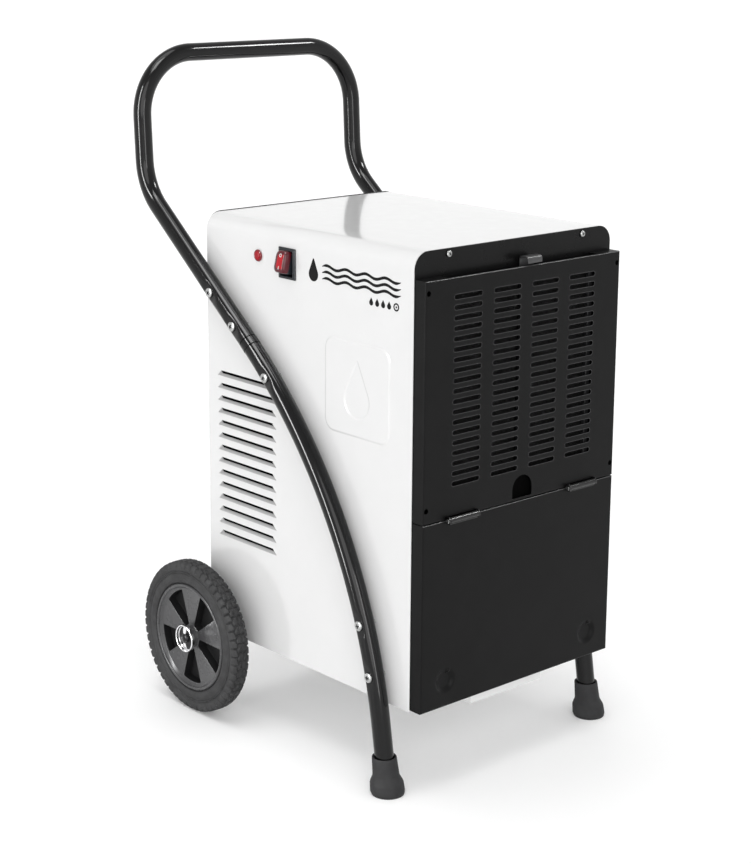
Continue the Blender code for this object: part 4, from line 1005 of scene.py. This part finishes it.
def tubes():
    corner = handle_point(STRAIGHT)
    top_y = corner[0] + (HANDLE_Z - corner[1]) * tan(LEAN)
    start = handle_point(JOINT_RING / 2 + GAP)
    corners = [(-TUBE_X, *start), (-TUBE_X, *corner), (-TUBE_X, top_y, HANDLE_Z),
               (TUBE_X, top_y, HANDLE_Z), (TUBE_X, *corner), (TUBE_X, *start)]
    path = resample(rounded(corners, BEND_R, 24), 0.0025)
    places = screw_places()
    rings = tube_rings(path, TUBE_R, 36)
    flatten_at_screws(rings, places[:2])
    bm = bmesh.new()
    loft(bm, rings)
    add_piece("handle_bar", bm, "tube", ["handle_tube"])
    for side, name in SIDES:
        first, last = JOINT_RING / 2 + GAP, (SLOPE - LEG_END) * LEG_R
        arc = [leg_point(first + (last - first) * step / 60) for step in range(61)]
        path = resample([(side * TUBE_X, y, z) for y, z in arc + [toe_point(LEG_TOE_Z)]], 0.0025)
        rings = tube_rings(path, TUBE_R, 36)
        flatten_at_screws(rings, places[2:])
        bm = bmesh.new()
        loft(bm, rings)
        add_piece(f"leg_bar_{name}", bm, "tube", [f"leg_tube_{name}"])
        down = Vector((side * TUBE_X, *leg_point(JOINT_RING / 2)))
        up = Vector((side * TUBE_X, *handle_point(JOINT_RING / 2)))
        turn = (up - down).to_track_quat("Z", "Y").to_matrix().to_4x4()
        place = Matrix.Translation((down + up) / 2) @ turn
        half = (up - down).length / 2
        ring = bmesh.new()
        high = TUBE_R + 0.0003
        add_turned(ring, [(0, -0.030), (0.0085, -0.030), (0.0085, -half), (high - 0.0016, -half),
                          (high, 0.0012 - half), (high, half - 0.0012), (high - 0.0016, half),
                          (0.0085, half), (0.0085, 0.030), (0, 0.030)], 48, matrix=place)
        add_piece(f"joint_ring_{name}", ring, "tube", [f"tube_connector_{name}"])


def screw_mesh(name, radius, height, shank):
    """Pan-head screw along +Z with a cross recess; the head's underside is at 0."""
    bm = bmesh.new()
    dome = [(radius * sin(turn), height * (0.45 + 0.55 * cos(turn)))
            for turn in map(radians, range(0, 81, 10))]
    add_turned(bm, dome + [(radius, height * 0.45), (radius, 0.0002), (radius - 0.0002, 0),
                           (radius * 0.46, 0), (radius * 0.46, -shank), (0, -shank)], 40)
    item = new_object(name, to_mesh(bm, name))
    arms = []
    for turn in (0, 90):
        arm = placed((0, 0, 0), turn)
        wide, narrow, half = radius * 0.58, radius * 0.30, radius * 0.15
        top = [(-wide, -half), (wide, -half), (wide, half), (-wide, half)]
        low = [(u * narrow / wide, v * 0.8) for u, v in top]
        arms.append(bmesh.new())
        loft(arms[-1], [[arm @ Vector((u, v, height * 0.35)) for u, v in low],
                        [arm @ Vector((u, v, height * 1.3)) for u, v in top]])
    cut(item, *arms)
    mesh = item.data
    mesh.name = name
    bpy.data.objects.remove(item)
    mesh.materials.clear()
    mesh.materials.append(MATERIALS["zinc"])
    mesh.materials.append(MATERIALS["painted_shade_metal"])
    # Painted shade: faces in the cross recess get the dark steel.
    for face in mesh.polygons:
        steep = abs(face.normal.z) < 0.75 or face.center.z < height * 0.4
        if hypot(face.center.x, face.center.y) < radius * 0.56 and 0 < face.center.z and steep:
            face.material_index = 1
    return mesh


def screws():
    large = screw_mesh("tube_screw_shape", 0.0065, 0.0032, 0.030)
    face = TUBE_X + TUBE_R - 0.0025 + GAP
    for side, name in SIDES:
        for index, (y, z, _) in enumerate(screw_places()):
            add_piece(f"frame_screw_{name}_{index + 1}", large, "zinc",
                      [f"tube_screw_{name}_{index + 1}"],
                      place=placed((side * face, FRONT + y, z), side * 90, "Y")
                      @ Matrix.Rotation(0.5 + 1.3 * index + side, 4, "Z"))
    small = screw_mesh("plate_screw_shape", 0.0042, 0.0027, 0.012)
    for side, name in SIDES:
        middle = middle_of(f"plate_screw_{name}")
        add_piece(f"lid_screw_{name}", small, "zinc", [f"plate_screw_{name}"],
                  place=placed((middle.x, FRONT - GAP, middle.z), 90, "X")
                  @ Matrix.Rotation(0.4 * side, 4, "Z"))


def foot(side, name):
    """Rubber ferrule, sheared along the leg so that its sole stays flat."""
    profile = rounded(mm((13, 8.5), (13, 44), (14.2, 48), (15.9, 48), (16.2, 45), (17.4, 24.5),
                         (18, 22.5), (21.3, 16), (21.9, 14), (22.5, 4), (21.2, 0)), 0.0022, 4)
    bm = bmesh.new()
    add_turned(bm, [(0, 0.0085), *profile, (0, 0)], 64)
    shear = Matrix.Identity(4)
    shear[1][2] = tan(LEG_END)
    bm.transform(shear)
    add_piece(f"ferrule_{name}", bm, "rubber", [f"foot_{name}"],
              location=(side * TUBE_X, FRONT + toe_point(0)[0], 0))


# Wheels

def triangle_wave(value):
    """Runs from -1 to 1 and back once for each unit."""
    value = value - floor(value)
    return 4 * value - 1 if value < 0.5 else 3 - 4 * value


def tread_depth(turn, across):
    """Groove depth of the tread, 0 to 1; turn counts blocks round the tyre, across runs -1 to 1."""
    width = abs(across)
    shoulder = width > 0.52
    gap = abs((turn + (0.0 if shoulder else 0.5)) % 1.0 - 0.5)
    hook = 0.10 * triangle_wave(across * 1.6) if not shoulder else 0.0
    lateral = smooth((gap + hook - (0.36 if shoulder else 0.40)) / 0.09)
    seam = abs(width - 0.52 - 0.10 * triangle_wave(turn + 0.25))
    around = 0.8 * smooth((0.075 - seam) / 0.05)
    middle = 0.8 * smooth((0.070 - abs(across - 0.12 * triangle_wave(turn * 0.5))) / 0.045)
    return max(lateral, around, middle)


def tyre(side, name):
    """Solid tyre about X: bead, ringed sidewalls, and a tread of staggered blocks."""
    blocks, per_block = 54, 10
    half = TYRE_HALF
    wall = [(RIM_R + GAP, half - 0.0045), (0.0776, half - 0.0045), (0.0784, half - 0.0016),
            (0.0820, half - 0.0002), (0.0862, half - 0.0001), (0.0900, half - 0.0014),
            (0.0912, half - 0.0026), (0.0922, half - 0.0010), (0.0930, half - 0.0010),
            (0.0938, half - 0.0024), (0.0950, half - 0.0024), (0.0962, half - 0.0008),
            (0.1020, half - 0.0008), (0.1050, half - 0.0018), (0.1074, half - 0.0046),
            (WHEEL_R, half - 0.0080)]
    outline = wall + [(radius, -x) for radius, x in wall[::-1]]
    section = resample(rounded(outline, 0.0012, 3), 0.0010)
    bm = bmesh.new()
    rows = []
    count = blocks * per_block
    for step in range(count):
        angle = 2 * pi * step / count
        ring = []
        for radius, x in section:
            lug = smooth((radius - 0.0985) / 0.0030)
            deep = 0.0022 * lug * tread_depth(step / per_block, x / half) if lug else 0.0
            radius -= deep
            x -= copysign(deep * 0.7, x) if abs(x) > 0.6 * half else 0.0
            ring.append((x, radius * cos(angle), radius * sin(angle)))
        rows.append(ring)
    grid_mesh(bm, rows, close_rows=True, close_columns=True)
    centre = (side * WHEEL.x, WHEEL.y, WHEEL.z)
    add_piece(f"tread_tyre_{name}", bm, "tyre", [f"tyre_{name}"], f"{name}_wheel", centre,
              sharp=42)


def sector_outline(inner, outer, middle, half_inner, half_outer, radius=0.0018):
    """Outline of a sector with softened corners, in degrees."""
    corners = [(inner, middle - half_inner), (inner, middle + half_inner)]
    corners += [(outer, middle + half_outer * share) for share in (1, 0.6, 0.2, -0.2, -0.6, -1)]
    points = [(size * cos(radians(turn)), size * sin(radians(turn))) for size, turn in corners]
    return rounded(points, radius, 3, True)


def rim(side, name):
    """Moulded rim about Z before it is turned: band, five pockets between five flat spokes."""
    band_out, band_in = TYRE_HALF - 0.0010, -TYRE_HALF + 0.0010
    profile = [(0.0063, HUB_FACE), (HUB_R - 0.0020, HUB_FACE), (HUB_R, HUB_FACE - 0.0020),
               (HUB_R + 0.0008, DISC_FACE), (DISC_R, DISC_FACE)]
    profile += arc_points((0.0740, band_out - 0.0023), 0.0023, 180, 30, 14)
    profile += [(RIM_R, band_out - 0.0026), (RIM_R, band_in), (0.0740, band_in),
                (0.0700, DISC_BACK), (HUB_R, DISC_BACK), (HUB_R - 0.002, HUB_BACK),
                (0.0063, HUB_BACK)]
    bm = bmesh.new()
    add_turned(bm, profile, 120, True)
    item = new_object(f"wheel_rim_{name}", to_mesh(bm, "rim", 25), (0, 0, 0))
    pockets, hollows = bmesh.new(), bmesh.new()
    for index in range(5):
        add_prism(pockets, sector_outline(0.0180, 0.0672, 72 * index + 36, 17.5, 17.5), 2,
                  DISC_BACK + 0.0030, 0.025)
        add_prism(hollows, sector_outline(0.0215, 0.0645, 72 * index, 8.5, 14.5), 2, -0.030,
                  DISC_FACE - 0.0030)
    cut(item, pockets, hollows)
    soften(item, 0.0005, 40)
    mesh = item.data
    bpy.data.objects.remove(item)
    mesh.transform(Matrix.Rotation(side * pi / 2, 4, "Y"))
    mesh.materials.append(MATERIALS["rim"])
    mesh.materials.append(MATERIALS["recess"])
    # Painted shade: faces inside the pockets get the near-black plastic.
    for face in mesh.polygons:
        depth = side * face.center.x
        radius = hypot(face.center.y, face.center.z)
        if HUB_R + 0.001 < radius < 0.0675 and DISC_BACK + 0.001 < depth < DISC_FACE - 0.0007:
            face.material_index = 1
    add_piece(f"wheel_rim_{name}", mesh, "rim", [f"rim_{name}"], f"{name}_wheel",
              (side * WHEEL.x, WHEEL.y, WHEEL.z))


def push_cap(side, name):
    """Bright push-on cap: an open cup with a rolled rim, two gripping tongues and a dark middle."""
    place = placed((0, 0, 0), side * 90, "Y")
    cup = bmesh.new()
    profile = mm((7.5, 0.4), (18, 0.4), (19.2, 1.2), (19.4, 5), (19, 6), (18, 6), (17.6, 5.2),
                 (17.3, 1.8), (16.6, 1.1), (7.5, 1.1))
    add_turned(cup, rounded(profile, 0.0005, 3, True), 72, True, place)
    for turn in (0, 180):
        tongue = place @ placed((0, 0, 0), turn)
        loft(cup, [[tongue @ Vector(point) for point in
                    ((reach, -half, 0.0010), (reach, half, 0.0010), (reach, half, high),
                     (reach, -half, high))]
                   for reach, half, high in ((0.0070, 0.0026, 0.0046), (0.0115, 0.0034, 0.0040),
                                             (0.0172, 0.0044, 0.0020))])
    centre = (side * (WHEEL.x + HUB_FACE), WHEEL.y, WHEEL.z)
    add_piece(f"hub_cap_{name}", cup, "chrome", [f"push_cap_{name}"], location=centre,
              sharp=50)
    # The dark steel middle is painted shade and painted dark reflection in the cap.
    middle = bmesh.new()
    add_turned(middle, mm((0, 6.2), (5, 5.8), (6.2, 4.6), (6.6, 1.8), (16.5, 1.4), (16.5, 1.1),
                          (0, 1.1)), 60, matrix=place)
    add_piece(f"hub_cap_middle_{name}", middle, "painted_shade_metal", location=centre, sharp=50)


# Pieces that stay as the CAD made them

def carry_over():
    """CAD nodes whose shape is right get a finished material."""
    finish = {
        "white": ["base_tray"],
        "galvanised": ["fan_bulkhead", "fan_motor", "drip_tray", "axle_clamp_left",
                       "axle_clamp_right"],
        "zinc": ["wheel_axle", "hinge_pin_left", "hinge_pin_right"],
        "enamel": ["compressor"],
        "copper": ["suction_line", "discharge_line", "liquid_line", "capillary_tube",
                   "filter_drier"],
        "dark": ["drain_spigot", "float_switch", "fan_impeller"],
        "bezel": ["control_box"],
    }
    for material, nodes in finish.items():
        for node in nodes:
            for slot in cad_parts[node].material_slots:
                slot.material = MATERIALS[material]


# Stage, lights and camera

def studio_floor():
    bm = bmesh.new()
    bmesh.ops.create_grid(bm, x_segments=1, y_segments=1, size=30)
    item = new_object("floor", to_mesh(bm, "floor"), (0, 0, 0))
    item.data.materials.append(finish_material(
        "studio_floor", (0.98, 0.98, 0.98), (0.55, 0.60), tint=0.004, patch=2, grain=40, depth=10,
        specular=0.1, glow=0.035))


def area_light(name, place, target, size, power):
    """A soft box that neither the camera nor the diffuse light sees."""
    light = bpy.data.lights.new(name, "AREA")
    light.shape = "RECTANGLE"
    light.size, light.size_y = size
    light.energy = power
    item = new_object(name, light, place)
    item.rotation_euler = (Vector(target) - Vector(place)).to_track_quat("-Z", "Y").to_euler()
    item.visible_camera = False
    item.visible_diffuse = False


def lights():
    world = bpy.data.worlds.new("studio")
    world.use_nodes = True
    tree = world.node_tree
    background = tree.nodes["Background"]
    background.inputs["Color"].default_value = (1.0, 1.0, 1.0, 1)
    place = add_node(tree, "TexCoord", {}).outputs["Generated"]
    split = add_node(tree, "SeparateXYZ", {"Vector": place})
    tree.links.new(range_node(tree, split.outputs["Z"], 1.12, 0.50, 0.05, 0.90),
                   background.inputs["Strength"])
    bpy.context.scene.world = world
    for name, energy, angle, direction in (("key", 1.15, 42, (0.12, 0.00, -0.99)),
                                           ("fill", 1.00, 40, (0.55, 0.65, -0.30))):
        sun = bpy.data.lights.new(name, "SUN")
        sun.energy = energy
        sun.angle = radians(angle)
        item = new_object(name, sun, (0, 0, 0))
        item.rotation_euler = Vector(direction).to_track_quat("-Z", "Y").to_euler()
    area_light("left_strip", (-3.2, 0.25, 1.5), (0, 0.1, 0.6), (0.45, 3.0), 150)
    area_light("top_box", (2.3, -1.45, 3.2), (0, 0.2, 0.8), (0.55, 0.55), 50)
    area_light("overhead_box", (-0.74, -0.45, 2.97), (-0.19, 0.1, 0.6), (0.9, 0.9), 25)
    area_light("front_strip", (-1.25, -3.6, 0.7), (-0.19, 0, 0.5), (0.7, 2.2), 34)


def camera():
    data = bpy.data.cameras.new("view")
    data.lens = 80.2
    data.sensor_width = 36
    data.shift_y = -0.08
    item = new_object("view", data, (0, 0, 0))
    yaw, pitch, roll = radians(41.81), radians(13.04), radians(0.41)
    forward = Vector((sin(yaw) * cos(pitch), cos(yaw) * cos(pitch), -sin(pitch)))
    level = Vector((cos(yaw), -sin(yaw), 0))
    upright = level.cross(forward)
    right = level * cos(roll) + upright * sin(roll)
    up = upright * cos(roll) - level * sin(roll)
    turn = Matrix((right, up, -forward)).transposed()
    item.matrix_world = Matrix.Translation((-1.725, -1.927, 1.093)) @ turn.to_4x4()
    bpy.context.scene.camera = item


def build():
    casing()
    for side, name in SIDES:
        louvre_lips(side, name)
    front_plate()
    rear_panel()
    grille_cover()
    tank_door()
    pictogram()
    filter_cassette()
    coil("evaporator", 0.0060, 0.0500, 0.3720, 0.6480)
    coil("condenser", 0.0580, 0.1020, 0.3720, 0.6480)
    water_tank()
    tank_float()
    switch_bezel()
    rocker_switch()
    indicator_lamp()
    power_inlet()
    tubes()
    screws()
    for side, name in SIDES:
        foot(side, name)
        tyre(side, name)
        rim(side, name)
        push_cap(side, name)
    carry_over()
    studio_floor()
    lights()
    camera()
    bpy.context.scene.view_settings.view_transform = "Standard"


build()
